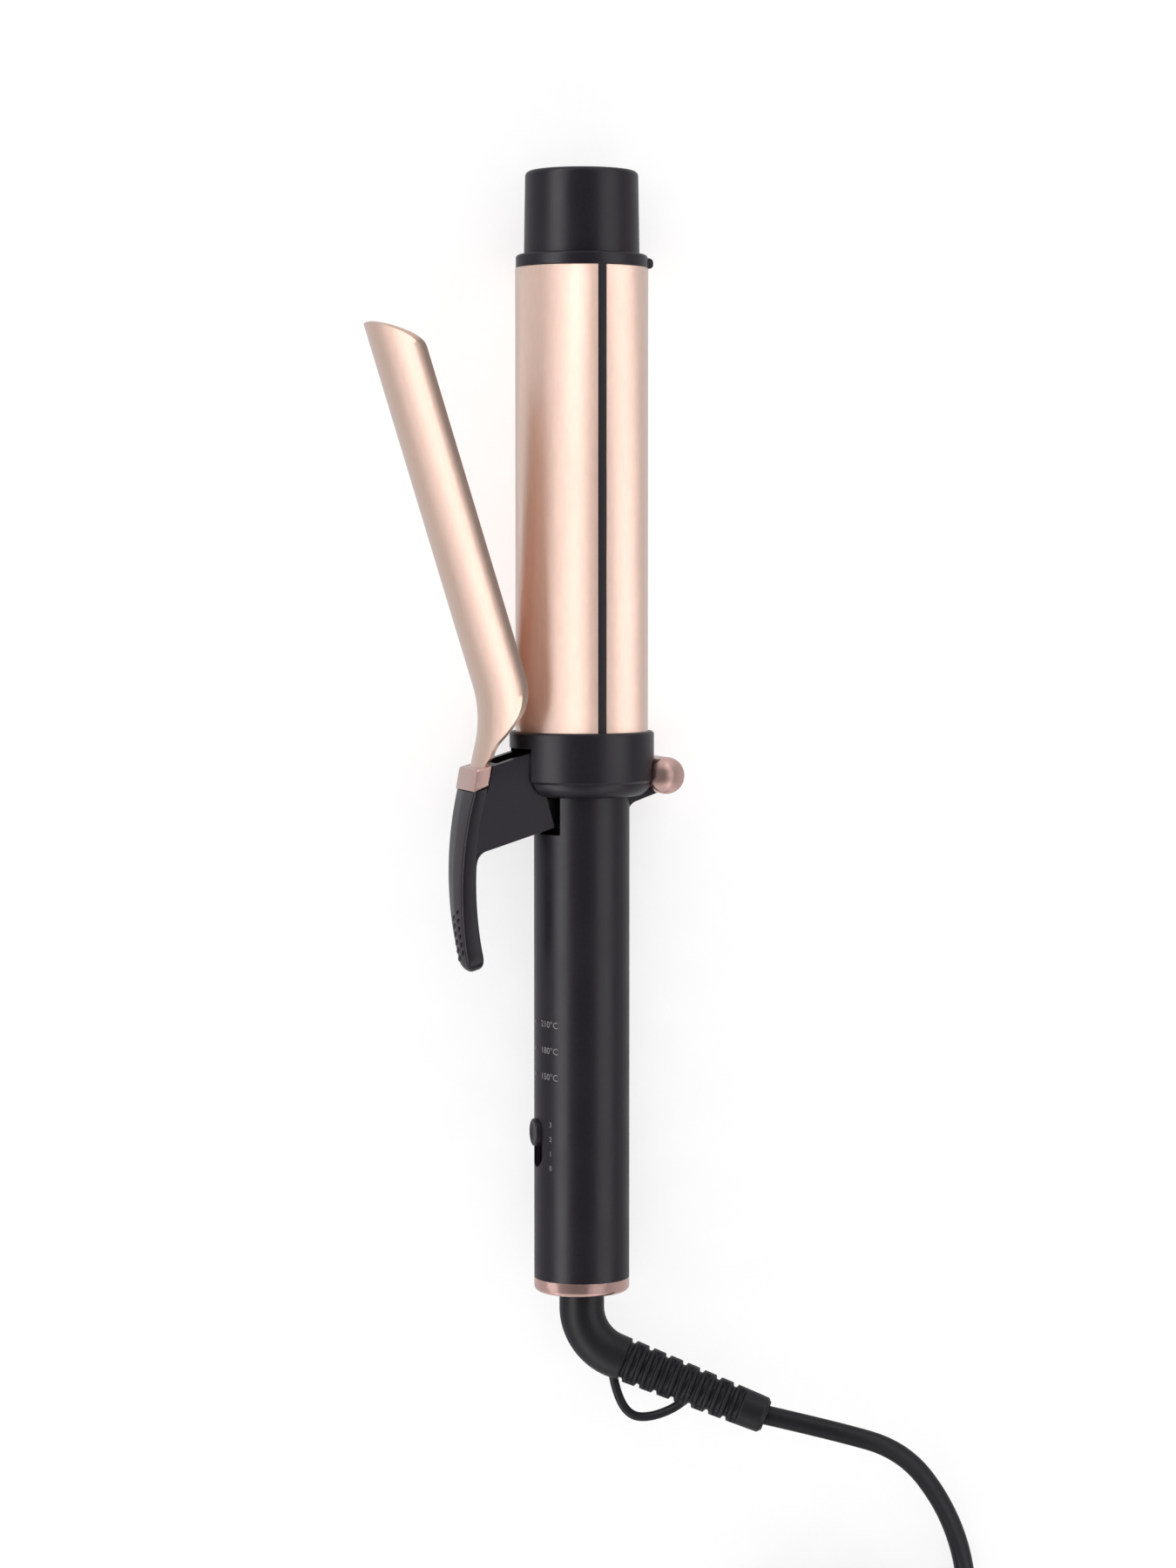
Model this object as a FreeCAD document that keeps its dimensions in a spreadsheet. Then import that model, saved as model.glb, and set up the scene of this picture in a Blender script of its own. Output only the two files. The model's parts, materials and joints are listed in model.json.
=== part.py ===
"""Curling iron with a spring clamp, lying on its side on a table.

The iron is drawn in its own frame, in millimetres: its axis is Y with the cool tip at +Y,
the clamp is on the -X side, the stand bar on the +X side, and y = 0 is the collar's top edge.
The clamp is drawn closed. Placements then open the clamp, swing the cord's swivel and roll
the iron until its collar and its stand bar rest on the table, which is z = 0.
"""
import FreeCAD, Part
import math
import os
import re

import Sketcher
from FreeCAD import Placement, Rotation, Vector

DIMENSIONS = [
    # how the iron lies
    ("roll_angle", 18, "roll about the iron's axis, clamp side up"),
    ("open_angle", 17.3, "clamp opening at rest"),
    ("swivel_lift", 8, "strain relief above the table's plane"),
    # barrel
    ("barrel_radius", 19, "outside of the barrel"),
    ("barrel_wall", 1.5, "wall of the two barrel shells"),
    ("barrel_top", 132, "end of the barrel shells"),
    ("barrel_seat", 3, "depth of the barrel in the collar"),
    ("seam_width", 2.5, "gap between the barrel shells"),
    ("seam_drop", 0.4, "seam strip below the barrel's surface"),
    # tip
    ("ring_radius", 18.8, "tip ring"),
    ("ring_bore", 15, "hole of the tip ring"),
    ("ring_top", 135.7, "upper face of the tip ring"),
    ("nub_reach", 20.7, "tip rest nub, from the axis"),
    ("nub_width", 9, "tip rest nub"),
    ("tip_base_radius", 16.5, "cool tip at its base"),
    ("tip_top_radius", 16.1, "cool tip at its end"),
    ("tip_top", 159.4, "end of the cool tip"),
    ("tip_round", 2.6, "rounded rim of the cool tip"),
    ("tip_wall", 2.4, "wall of the cool tip"),
    # heater
    ("heater_low", 12, "lower end of the heat spreaders"),
    ("heater_high", 112, "upper end of the heat spreaders"),
    ("spreader_gap", 4.2, "between the two spreaders' flat faces"),
    ("spreader_bore", 5, "bore along each spreader"),
    ("spreader_bore_offset", 9.5, "bore's distance from the axis"),
    ("plate_thickness", 2.2, "heater plate"),
    ("plate_length", 26, "heater plate"),
    ("plate_width", 14, "heater plate"),
    ("plate_pitch", 28, "from one heater plate to the next"),
    ("electrode_thickness", 0.4, "brass electrode"),
    ("tail_width", 4, "electrode tail"),
    ("crimp_low", -20, "lower end of the crimps"),
    # handle
    ("collar_radius", 20.75, "collar round the barrel's base"),
    ("collar_length", 14.3, "straight part of the collar"),
    ("handle_radius", 13.75, "handle tube"),
    ("handle_start", -18.4, "where the collar's foot meets the handle"),
    ("handle_end", -157.9, "lower end of the handle tube"),
    ("handle_bore", 12, "inside of the handle tube"),
    ("lead_bore", 11, "passage under the barrel"),
    # clamp pocket and hinge
    ("pivot_offset", 16, "hinge pin from the iron's axis"),
    ("pivot_y", -23.1, "hinge pin along the iron"),
    ("pin_radius", 1.5, "hinge pin"),
    ("pin_clearance", 0.05, "running clearance round the hinge pin"),
    ("pin_half", 7.4, "half the hinge pin's length"),
    ("pocket_top", -4.6, "upper wall of the clamp pocket"),
    ("pocket_low", -29.3, "lower wall of the clamp pocket"),
    ("pocket_half", 9.8, "half the pocket's width"),
    ("pocket_floor", 5.4, "pocket floor from the iron's axis"),
    ("floor_thickness", 1.9, "pocket floor"),
    ("ear_in", 2.8, "inner face of a hinge ear from the middle"),
    ("ear_out", 5.6, "outer face of a hinge ear"),
    ("ear_radius", 4, "rounded top of a hinge ear"),
    # stand
    ("stand_offset", 22.4, "stand bar from the iron's axis"),
    ("stand_y", -12.75, "stand bar along the iron"),
    ("stand_radius", 5.3, "stand bar"),
    ("stand_half", 12.97, "half the stand bar's length"),
    ("screw_radius", 1.5, "screw of the stand bar"),
    ("bracket_half", 4, "half the stand bracket's width"),
    # clamp blade
    ("blade_inner", 19.3, "inside of the clamp blade"),
    ("blade_thickness", 1, "clamp blade"),
    ("blade_end", 146.5, "blade tip above the pivot"),
    ("blade_half", 16.6, "half the blade's width"),
    ("blade_tip", 11, "length of the blade's rounded tip"),
    ("bend_start", 39, "where the blade's neck starts to bend"),
    ("bend_radius", 31, "outside of the neck's bend"),
    ("bend_angle", 30, "turn of the neck"),
    ("neck_half", 8.5, "half the neck's width above the ferrule"),
    ("neck_foot_half", 7.2, "half the neck's width inside the ferrule"),
    ("tongue_half", 5, "half the tongue's width"),
    ("tongue_length", 22, "straight tongue inside the lever"),
    # clamp ferrule and lever
    ("ferrule_half", 9.6, "half the ferrule's width"),
    ("ferrule_chamfer", 0.6, "ferrule's bevelled edges"),
    ("lever_bow", 108, "radius of the lever's outer face"),
    ("lever_thickness", 6, "lever"),
    ("lever_half", 9.4, "half the lever's width at the ferrule"),
    ("lever_end_half", 4.6, "half the lever's width at its end"),
    ("lever_end", 33.6, "centre of the lever's round end, below the pivot"),
    ("web_half", 6.1, "half the hollow inside the lever's web"),
    ("web_low", 5.5, "lower edge of the web, below the pivot"),
    # controls
    ("switch_y", -115.4, "slider knob's centre at its top stop"),
    ("switch_travel", 6, "slider travel"),
    ("slot_half", 4, "half the width of the slider slot"),
    ("knob_half_length", 4, "slider knob"),
    ("knob_half_width", 3.5, "slider knob"),
    ("knob_top", 14.85, "slider knob from the iron's axis"),
    ("shutter_outer", 11.7, "shutter's outside radius"),
    ("shutter_inner", 11.1, "shutter's inside radius"),
    ("light_y", -83.3, "first indicator light"),
    ("light_pitch", 7.53, "from one light to the next"),
    ("light_radius", 0.65, "light pipe"),
    # electronics
    ("board_front", -2.6, "front face of the circuit board"),
    ("board_thickness", 1.6, "circuit board"),
    ("board_top", -70, "upper end of the circuit board"),
    ("board_low", -130, "lower end of the circuit board"),
    ("board_half", 8.6, "half the circuit board's width"),
    ("chassis_face", 2.6, "front face of the chassis plate"),
    ("chassis_thickness", 2, "chassis plate"),
    ("wire_radius", 0.9, "heater lead"),
    # tail and swivel
    ("tail_end", -161.9, "lower end of the tail ring"),
    ("tail_round", 1.6, "rounded edge of the tail ring"),
    ("tail_bore", 10.5, "hole of the tail ring"),
    ("socket_top", -146, "upper end of the swivel socket"),
    ("spindle_radius", 4, "swivel spindle"),
    ("spindle_clearance", 0.06, "running clearance round the spindle"),
    ("relief_top", -162.2, "upper end of the strain relief"),
    ("relief_radius", 6.95, "strain relief at the handle"),
    ("relief_stub", 4.7, "straight part above the elbow"),
    ("elbow_radius", 15, "elbow's centre line"),
    ("elbow_angle", 69.5, "turn of the elbow"),
    ("sleeve_length", 46.9, "tapered sleeve after the elbow"),
    ("sleeve_start", 6.5, "sleeve's radius at the elbow"),
    ("sleeve_end", 4.85, "sleeve's radius at the cord"),
    ("loop_radius", 1.3, "hanging loop's section"),
    # cord and plug
    ("cord_radius", 2.85, "mains cord"),
    ("coil_turn", 5.7, "from one turn of the coil to the next"),
    ("coil_radius", 31, "middle of the coil's turns"),
    ("coil_x", 76, "coil's centre from the iron's axis"),
    ("coil_y", -294, "coil's centre along the iron"),
    ("tie_thickness", 0.8, "strap round the coil"),
    ("tie_width", 9, "strap round the coil"),
    ("plug_length", 36, "plug body"),
    ("plug_width", 35.3, "plug body"),
    ("plug_height", 13.7, "plug body"),
    ("prong_radius", 2, "plug pin"),
    ("prong_length", 19, "plug pin"),
    ("prong_spacing", 18.6, "between the plug pins' axes"),
]

# The cord's route on the table, from the foot of the iron's axis: x, y and height.
LEAD_ROUTE = [(51.3, -196.7, 27.95), (70.5, -202, 29.4), (90, -210.3, 26), (105.5, -226.3, 17.5),
              (113.2, -247, 8), (113.5, -267, 3.75), (112.8, -284, 3.65)]
TAIL_ROUTE = [(70, -325, 15), (52, -325.8, 14.6), (36, -324.2, 10), (21, -325, 6.85)]
# The hanging loop's route in the plane of the strain relief.
LOOP_ROUTE = [(8.4, -182.8), (9.4, -189.3), (13.6, -197), (21.2, -197.2), (29.6, -193.6), (33.5, -189.2)]

doc = FreeCAD.newDocument("curling_iron")
sheet = doc.addObject("Spreadsheet::Sheet", "dims")
for line, (alias, number, note) in enumerate(DIMENSIONS, 1):
    sheet.set(f"A{line}", note)
    sheet.set(f"B{line}", str(number))
    sheet.setAlias(f"B{line}", alias)
doc.recompute()


# --- helpers -------------------------------------------------------------------------------

def bound(text):
    """The expression with every dimension's name pointing into the sheet."""
    return re.sub(r"[a-z]\w*", r"dims.\g<0>", str(text))


def size(text):
    """The value of an expression in the sheet's dimensions."""
    return float(sheet.evalExpression(bound(text)))


def made(kind, name, **expressions):
    thing = doc.addObject(kind, name)
    for key, text in expressions.items():
        thing.setExpression(key, bound(text))
    return thing


TURNS = {"X": Rotation(Vector(0, 1, 0), 90), "Y": Rotation(Vector(1, 0, 0), -90), "Z": Rotation()}


def placed(thing, x=0, y=0, z=0, turn=None):
    if turn:
        thing.Placement.Rotation = turn
    for axis, text in zip("xyz", (x, y, z)):
        thing.setExpression(f"Placement.Base.{axis}", bound(text))
    return thing


def rod(name, radius, length, x=0, y=0, z=0, along="Y"):
    """A cylinder that starts at the point and runs up the named axis."""
    return placed(made("Part::Cylinder", name, Radius=radius, Height=length), x, y, z, TURNS[along])


def block(name, x, y, z):
    """A box from three pairs of limits."""
    spans = [f"({high}) - ({low})" for low, high in (x, y, z)]
    solid = made("Part::Box", name, Length=spans[0], Width=spans[1], Height=spans[2])
    return placed(solid, x[0], y[0], z[0])


def joined(name, *parts):
    thing = doc.addObject("Part::MultiFuse", name)
    thing.Shapes = list(parts)
    thing.Refine = True
    return thing


def shared(name, *parts):
    thing = doc.addObject("Part::MultiCommon", name)
    thing.Shapes = list(parts)
    return thing


def less(name, base, *tools):
    thing = doc.addObject("Part::Cut", name)
    thing.Base = base
    thing.Tool = tools[0] if len(tools) == 1 else joined(name + "_tools", *tools)
    return thing


def group(name, *parts):
    thing = doc.addObject("Part::Compound", name)
    thing.Links = list(parts)
    return thing


def bowed(start, end, radius):
    """The arc from start to end; a positive radius bulges to the left of the way."""
    way = end - start
    left = Vector(-way.y, way.x, 0).normalize()
    rise = math.sqrt(radius ** 2 - (way.Length / 2) ** 2)
    centre = (start + end) / 2 - left * math.copysign(rise, radius)
    angles = [math.atan2(point.y - centre.y, point.x - centre.x) for point in (start, end)]
    if radius > 0:
        angles.reverse()
    circle = Part.Circle(centre, Vector(0, 0, 1), abs(radius))
    return Part.ArcOfCircle(circle, angles[0], angles[1]), radius > 0


def outline(sketch, points):
    """A closed outline: each point is (x, y), or (x, y, radius) where an arc leaves it."""
    corners = [Vector(size(point[0]), size(point[1]), 0) for point in points]
    ends = []
    for index, point in enumerate(points):
        start, end = corners[index], corners[(index + 1) % len(points)]
        backwards = False
        if len(point) == 3:
            edge, backwards = bowed(start, end, size(point[2]))
        else:
            edge = Part.LineSegment(start, end)
        sketch.addGeometry(edge)
        ends.append((2, 1) if backwards else (1, 2))
    for index in range(len(points)):
        after = (index + 1) % len(points)
        sketch.addConstraint(Sketcher.Constraint("Coincident", index, ends[index][1], after,
            ends[after][0]))
    for index, point in enumerate(points):
        rules = [("DistanceX", point[0], (index, ends[index][0])), ("DistanceY", point[1], (index,
            ends[index][0]))]
        if len(point) == 3:
            rules.append(("Radius", f"sqrt(({point[2]})^2)", (index,)))
        for kind, text, where in rules:
            number = abs(size(point[2])) if kind == "Radius" else size(text)
            key = sketch.addConstraint(Sketcher.Constraint(kind, *where, number))
            if kind != "Radius":
                sketch.setExpression(f"Constraints[{key}]", bound(text))
    return sketch


def turned(name, points):
    """A piece turned about the iron's axis: points are (radius, y)."""
    body = doc.addObject("PartDesign::Body", name)
    sketch = body.newObject("Sketcher::SketchObject", name + "_profile")
    plane = [feature for feature in body.Origin.OriginFeatures if feature.Role == "XY_Plane"][0]
    sketch.AttachmentSupport = [(plane, "")]
    sketch.MapMode = "FlatFace"
    outline(sketch, points)
    spin = body.newObject("PartDesign::Revolution", name + "_spin")
    spin.Profile = sketch
    spin.ReferenceAxis = (sketch, ["V_Axis"])
    spin.Angle = 360
    return body


SIDE_VIEW = Placement()
PLAN_VIEW = Placement(Vector(), Rotation(Vector(0, 1, 0), -90))


def slab(name, view, points, low, high):
    """An outline pushed from low to high along its view's normal."""
    sketch = doc.addObject("Sketcher::SketchObject", name + "_outline")
    sketch.Placement = view
    outline(sketch, points)
    solid = made("Part::Extrusion", name, LengthFwd=high, LengthRev=f"-({low})")
    solid.Base = sketch
    solid.DirMode = "Normal"
    solid.Solid = True
    return solid


def mirrored(points):
    """A half outline with its mirror image across x = 0, arcs included."""
    other = []
    for index in range(len(points) - 1, -1, -1):
        point = (f"-({points[index][0]})", points[index][1])
        bow = points[index - 1][2:] if index else ()
        other.append(point + bow)
    return points + other


def tube_shape(route, radius):
    """A round tube along straight runs joined by tangent arcs."""
    points = [Vector(*point) for point in route]
    edges, here, radii = [], points[0], []
    for before, corner, after in zip(points, points[1:], points[2:]):
        way_in, way_out = (corner - before), (after - corner)
        half_turn = way_in.getAngle(way_out) / 2
        trim = 0.45 * min(way_in.Length, way_out.Length)
        radii.append(trim / math.tan(half_turn))
        way_in.normalize()
        way_out.normalize()
        first, last = corner - way_in * trim, corner + way_out * trim
        inward = (way_out - way_in).normalize()
        middle = corner + inward * (radii[-1] / math.cos(half_turn) - radii[-1])
        edges += [Part.LineSegment(here, first).toShape(), Part.Arc(first, middle, last).toShape()]
        here = last
    edges.append(Part.LineSegment(here, points[-1]).toShape())
    path = Part.Wire(edges)
    ring = Part.Wire(Part.Circle(points[0], points[1] - points[0], radius).toShape())
    solid = path.makePipeShell([ring], True, True)
    expected = math.pi * radius ** 2 * path.Length
    print(f"tube: length {path.Length:.1f}, radii {[round(value) for value in radii]}, "
          f"volume {solid.Volume / expected:.4f} of section x length")
    return solid


def tube(name, route, radius):
    thing = doc.addObject("Part::Feature", name)
    thing.Shape = tube_shape(route, size(radius))
    return thing


# --- barrel and tip ------------------------------------------------------------------------

def barrel_pieces():
    inner = "barrel_radius - barrel_wall"
    reach = "barrel_top + barrel_seat"
    sleeve = turned("barrel_sleeve", [
        (inner, "-barrel_seat"), ("barrel_radius", "-barrel_seat"),
        ("barrel_radius", "barrel_top"), (inner, "barrel_top")])
    yield "barrel_front_shell", shared("front_shell", sleeve, block(
        "front_side", ("-barrel_radius", "-seam_width / 2"), ("-barrel_seat", "barrel_top"),
        ("-barrel_radius", "barrel_radius")))
    yield "barrel_rear_shell", shared("rear_shell", sleeve, block(
        "rear_side", ("seam_width / 2", "barrel_radius"), ("-barrel_seat", "barrel_top"),
        ("-barrel_radius", "barrel_radius")))
    ring = less("seam_ring", rod("seam_outer", "barrel_radius - seam_drop", reach, y="-barrel_seat"),
                rod("seam_inner", inner, reach, y="-barrel_seat"))
    yield "seam_strips", shared("seams", ring, block(
        "seam_side", ("-seam_width / 2", "seam_width / 2"), ("-barrel_seat", "barrel_top"),
        ("-barrel_radius", "barrel_radius")))


def tip_pieces():
    spigot = "barrel_radius - barrel_wall"
    ring = turned("ring_turned", [
        ("ring_bore", "barrel_top - 6"), (spigot, "barrel_top - 6"), (spigot, "barrel_top"),
        ("ring_radius", "barrel_top"), ("ring_radius", "ring_top - 0.6"),
        ("ring_radius - 0.6", "ring_top"), ("ring_bore", "ring_top")])
    nub = shared(
        "nub", rod("nub_round", "nub_reach", "ring_top - barrel_top - 0.5", y="barrel_top"),
        block("nub_side", ("ring_bore + 1", "nub_reach"), ("barrel_top", "ring_top"),
              ("-nub_width / 2", "nub_width / 2")))
    yield "tip_ring", joined("ring_with_nub", ring, nub)
    yield "cool_tip", turned("cool_tip_turned", [
        ("ring_bore - tip_wall", "barrel_top - 8"), ("ring_bore", "barrel_top - 8"),
        ("ring_bore", "ring_top"), ("tip_base_radius", "ring_top"),
        ("tip_top_radius", "tip_top - tip_round", "-tip_round"), ("tip_top_radius - tip_round", "tip_top"),
        ("0", "tip_top"), ("0", "tip_top - tip_wall"), ("ring_bore - tip_wall", "tip_top - tip_wall")])


# --- heater --------------------------------------------------------------------------------

def heater_pieces():
    bore = "barrel_radius - barrel_wall"
    length = "heater_high - heater_low"
    for side, sign in (("front", "-"), ("rear", "")):
        limits = ["spreader_gap / 2", "barrel_radius"]
        if sign:
            limits = ["-barrel_radius", "-spreader_gap / 2"]
        half = shared(side + "_half", rod(side + "_round", bore, length, y="heater_low"), block(
            side + "_limits", limits, ("heater_low", "heater_high"), ("-barrel_radius", "barrel_radius")))
        yield side + "_heat_spreader", less(side + "_spreader", half, rod(
            side + "_bore", "spreader_bore", length, x=sign + "spreader_bore_offset", y="heater_low"))
    yield "heater_plates", group("plates", *[block(
        f"plate_{index}", ("-plate_thickness / 2", "plate_thickness / 2"),
        (f"heater_low + 9 + {index} * plate_pitch",
            f"heater_low + 9 + {index} * plate_pitch + plate_length"),
        ("-plate_width / 2", "plate_width / 2")) for index in range(3)])
    electrodes = []
    for side, sign in (("a", 1), ("b", -1)):
        face, back = "plate_thickness / 2", "plate_thickness / 2 + electrode_thickness"
        span = (face, back) if sign > 0 else (f"-({back})", f"-({face})")
        middle = f"{sign} * tail_width"
        sides = (f"{middle} - tail_width / 2", f"{middle} + tail_width / 2")
        electrodes.append(joined(
            "electrode_" + side,
            block("strip_" + side, span, ("heater_low + 5", "heater_high - 6"), ("-plate_width / 2",
                "plate_width / 2")),
            block("tail_" + side, span, ("crimp_low", "heater_low + 5"), sides),
            block("crimp_" + side, ("-1.5", "1.5"), ("crimp_low", "crimp_low + 6"), (f"{middle} - 1",
                f"{middle} + 1"))))
    yield "heater_electrodes", group("electrodes", *electrodes)
    film = "plate_thickness / 2 + electrode_thickness"
    yield "heater_insulation", group("films", *[block(
        "film_" + side, span, ("heater_low", "heater_high"), ("-spreader_bore * 3", "spreader_bore * 3"))
        for side, span in (("front", ("-spreader_gap / 2", f"-({film})")), ("rear", (film,
            "spreader_gap / 2")))])
    for name, radius, z, start, reach, lead in (("thermal_fuse", 2, 2.4, 14, 12, 0.5),
                                                ("temperature_sensor", 1.2, -2.7, 24, 5, 0.4)):
        yield name, joined(
            name + "_parts",
            rod(name + "_case", radius, reach, x="spreader_bore_offset", y=start, z=z),
            rod(name + "_lead", lead, f"{start} - board_top + 3", x="spreader_bore_offset",
                y="board_top - 3", z=z),
            rod(name + "_end", lead, "spreader_bore_offset - board_front - board_thickness",
                x="board_front + board_thickness", y="board_top - 3", z=z, along="X"))
    base = turned("base_turned", [("0", "-barrel_seat"), (bore, "-barrel_seat"), (bore, "10"), ("0", "10")])
    yield "barrel_base", less(
        "base_with_ways", base,
        block("tails_way", ("-3", "3"), ("-barrel_seat", "10"), ("-tail_width * 2", "tail_width * 2")),
        rod("leads_way", "spreader_bore", "barrel_seat + 10", x="spreader_bore_offset", y="-barrel_seat"))
    yield "heater_leads", group("leads", *[rod(
        "heater_lead_" + side, "wire_radius", "crimp_low - board_top + 6",
        x="board_front + board_thickness + wire_radius",
        y="board_top - 6", z=f"{sign} * tail_width") for side, sign in (("a", 1), ("b", -1))])


# --- handle --------------------------------------------------------------------------------

def handle_pieces():
    shell = turned("handle_turned", [
        ("barrel_radius", "-barrel_seat"), ("barrel_radius", "0"), ("collar_radius - 0.5", "0"),
        ("collar_radius", "-0.5"), ("collar_radius", "0.4 - collar_length"),
        ("collar_radius - 0.7", "-collar_length - 0.3", "5"), ("handle_radius", "handle_start"),
        ("handle_radius", "handle_end"), ("handle_bore", "handle_end"), ("handle_bore",
            "-collar_length - 22"),
        ("lead_bore", "-collar_length - 20"), ("lead_bore", "-barrel_seat")])
    arm = slab("arm", SIDE_VIEW, [
        ("lead_bore - 4", "-5.7"), ("stand_offset - 4.9", "-5.7"), ("stand_offset - 1.2", "-8.3"),
        ("stand_offset + 1", "stand_y"), ("stand_offset - 1", "stand_y - stand_radius"),
        ("handle_radius + 1", "stand_y - 7.7", "-4"), ("handle_radius - 1", "stand_y - 12.3"),
        ("lead_bore - 4", "stand_y - 12.3")], "-bracket_half", "bracket_half")
    bracket = less("bracket", arm, rod("arm_bore", "lead_bore", "40", y="-40"))
    floor = shared(
        "floor", rod("floor_round", "handle_bore + 0.5", "34 - barrel_seat", y="-34"),
        block("floor_plate", ("-pocket_floor", "floor_thickness - pocket_floor"), ("-34", "-barrel_seat"),
              ("-handle_radius", "handle_radius")))
    pocket = block("pocket", ("-collar_radius - 2", "-pocket_floor"), ("pocket_low", "pocket_top"),
                   ("-pocket_half", "pocket_half"))
    slot = joined(
        "slot",
        rod("slot_high", "slot_half", 6, x="-handle_radius - 1", y="switch_y", z="0", along="X"),
        rod("slot_low", "slot_half", 6, x="-handle_radius - 1", y="switch_y - switch_travel", along="X"),
        block("slot_middle", ("-handle_radius - 1", "5 - handle_radius"),
              ("switch_y - switch_travel", "switch_y"), ("-slot_half", "slot_half")))
    lights = [rod(f"light_hole_{index}", "light_radius", 6, x="-handle_radius - 1",
                  y=f"light_y - {index} * light_pitch", along="X") for index in range(3)]
    ears = []
    for side, sides in (("near", ("ear_in", "ear_out")), ("far", ("-ear_out", "-ear_in"))):
        ears += [
            rod("ear_round_" + side, "ear_radius", "ear_out - ear_in", x="-pivot_offset", y="pivot_y",
                z=sides[0], along="Z"),
            block("ear_stem_" + side, ("-pivot_offset", "-pocket_floor"),
                  ("pivot_y - ear_radius", "pivot_y + ear_radius"), sides)]
    stand_hole = rod("stand_seat", "stand_radius", "bracket_half * 2", x="stand_offset", y="stand_y",
                     z="-bracket_half", along="Z")
    grooves = [rod("stand_groove_" + side, "stand_radius + 0.1", "stand_half + 1 - bracket_half",
                   x="stand_offset", y="stand_y", z=start, along="Z")
               for side, start in (("near", "bracket_half"), ("far", "-stand_half - 1"))]
    open_shell = less("open_shell", joined("shell_and_bracket", shell, bracket, floor), pocket, slot,
                      stand_hole, *grooves, *lights)
    pin_hole = rod("pin_hole", "pin_radius", "ear_out * 2", x="-pivot_offset", y="pivot_y", z="-ear_out",
        along="Z")
    screw_way = rod("screw_way", "screw_radius", 14, x="lead_bore - 2", y="stand_y", along="X")
    head_way = rod("head_way", "screw_radius + 1.1", 3, x="lead_bore - 2", y="stand_y", along="X")
    yield "handle_housing", less("housing", joined("shell_and_ears", open_shell, *ears), pin_hole,
                                 screw_way, head_way)
    yield "hinge_pin", group("pin", rod("pin_rod", "pin_radius", "pin_half * 2", x="-pivot_offset",
        y="pivot_y",
                                        z="-pin_half", along="Z"))
    bar = rod("bar_round", "stand_radius", "stand_half * 2", x="stand_offset", y="stand_y",
        z="-stand_half", along="Z")
    bevelled = doc.addObject("Part::Chamfer", "bar_bevelled")
    bevelled.Base = bar
    doc.recompute()
    bevelled.Edges = [(index + 1, 0.5, 0.5) for index, edge in enumerate(bar.Shape.Edges)
                      if edge.Length > 2 * size("stand_half") and len(edge.Vertexes) == 1]
    shank = rod("screw_shank", "screw_radius", "stand_offset - lead_bore - 0.1", x="lead_bore + 0.1",
                y="stand_y", along="X")
    head = rod("screw_head", "screw_radius + 1.1", 0.9, x="lead_bore + 0.1", y="stand_y", along="X")
    yield "stand_bar", less("bar", bevelled, rod("bar_hole", "screw_radius", "stand_offset - lead_bore",
                                                 x="lead_bore", y="stand_y", along="X"))
    yield "stand_screw", joined("screw_of_stand", head, shank)


# --- electronics ---------------------------------------------------------------------------

POST_PLACES = [(y, z) for y in (-80, -127) for z in (-6.4, 6.4)]


def electronics_pieces():
    board_back = "board_front + board_thickness"
    plate = block("chassis_plate", ("chassis_face", "chassis_face + chassis_thickness"),
                  ("board_low - 1", "board_top - 8"), ("-10.6", "10.6"))
    posts = [rod(f"post_{index}", 1.8, f"chassis_face - ({board_back})", x=board_back, y=y, z=z, along="X")
             for index, (y, z) in enumerate(POST_PLACES)]
    ribs = [shared(f"rib_{index}", rod(f"rib_round_{index}", "handle_bore", 3, y=y), block(
        f"rib_side_{index}", ("chassis_face + chassis_thickness", "handle_bore"), (y, y + 3),
        ("-handle_bore", "handle_bore"))) for index, y in enumerate((-92, -122))]
    yield "chassis", joined("chassis_whole", plate, *posts, *ribs)
    board = block("board_plate", ("board_front", board_back), ("board_low", "board_top"), ("-board_half",
        "board_half"))
    yield "circuit_board", less("board", board, *[rod(f"board_hole_{index}", 1, "board_thickness",
        x="board_front",
                                                      y=y, z=z, along="X") for index, (y,
                                                      z) in enumerate(POST_PLACES)])
    yield "board_screws", group("screws_of_board", *[joined(
        f"board_screw_{index}", rod(f"board_shank_{index}", 1, "board_thickness", x="board_front", y=y,
            z=z, along="X"),
        rod(f"board_head_{index}", 1.9, 1.2, x="board_front - 1.2", y=y, z=z, along="X"))
        for index, (y, z) in enumerate(POST_PLACES)])
    yield "power_parts", group(
        "power", block("relay", ("board_front - 6", "board_front"), (-78, -72), (-5, 4)),
        rod("capacitor", 2.6, 9, x="board_front - 2.6", y=-110, z=-5.8),
        block("triac", ("board_front - 2", "board_front"), (-107, -101), (3, 8)))
    case = block("switch_case", ("board_front - 5", "board_front"), ("switch_y - 11.5", "switch_y + 6"),
        ("-3.2", "3.2"))
    yield "slide_switch", less("switch", case, block(
        "switch_groove", ("board_front - 5", "board_front - 2.6"), ("switch_y - switch_travel - 1.6",
            "switch_y + 1.6"),
        ("-1.2", "1.2")))
    yield "indicator_leds", group("leds", *[block(
        f"led_{index}", ("board_front - 1.8", "board_front"),
        (f"light_y - {index} * light_pitch - 1.2", f"light_y - {index} * light_pitch + 1.2"), ("-0.9",
            "0.9"))
        for index in range(3)])
    yield "light_pipes", group("pipes", *[rod(
        f"light_pipe_{index}", "light_radius", "handle_radius + 0.1 + board_front - 1.8",
        x="-handle_radius - 0.1",
        y=f"light_y - {index} * light_pitch", along="X") for index in range(3)])


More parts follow.
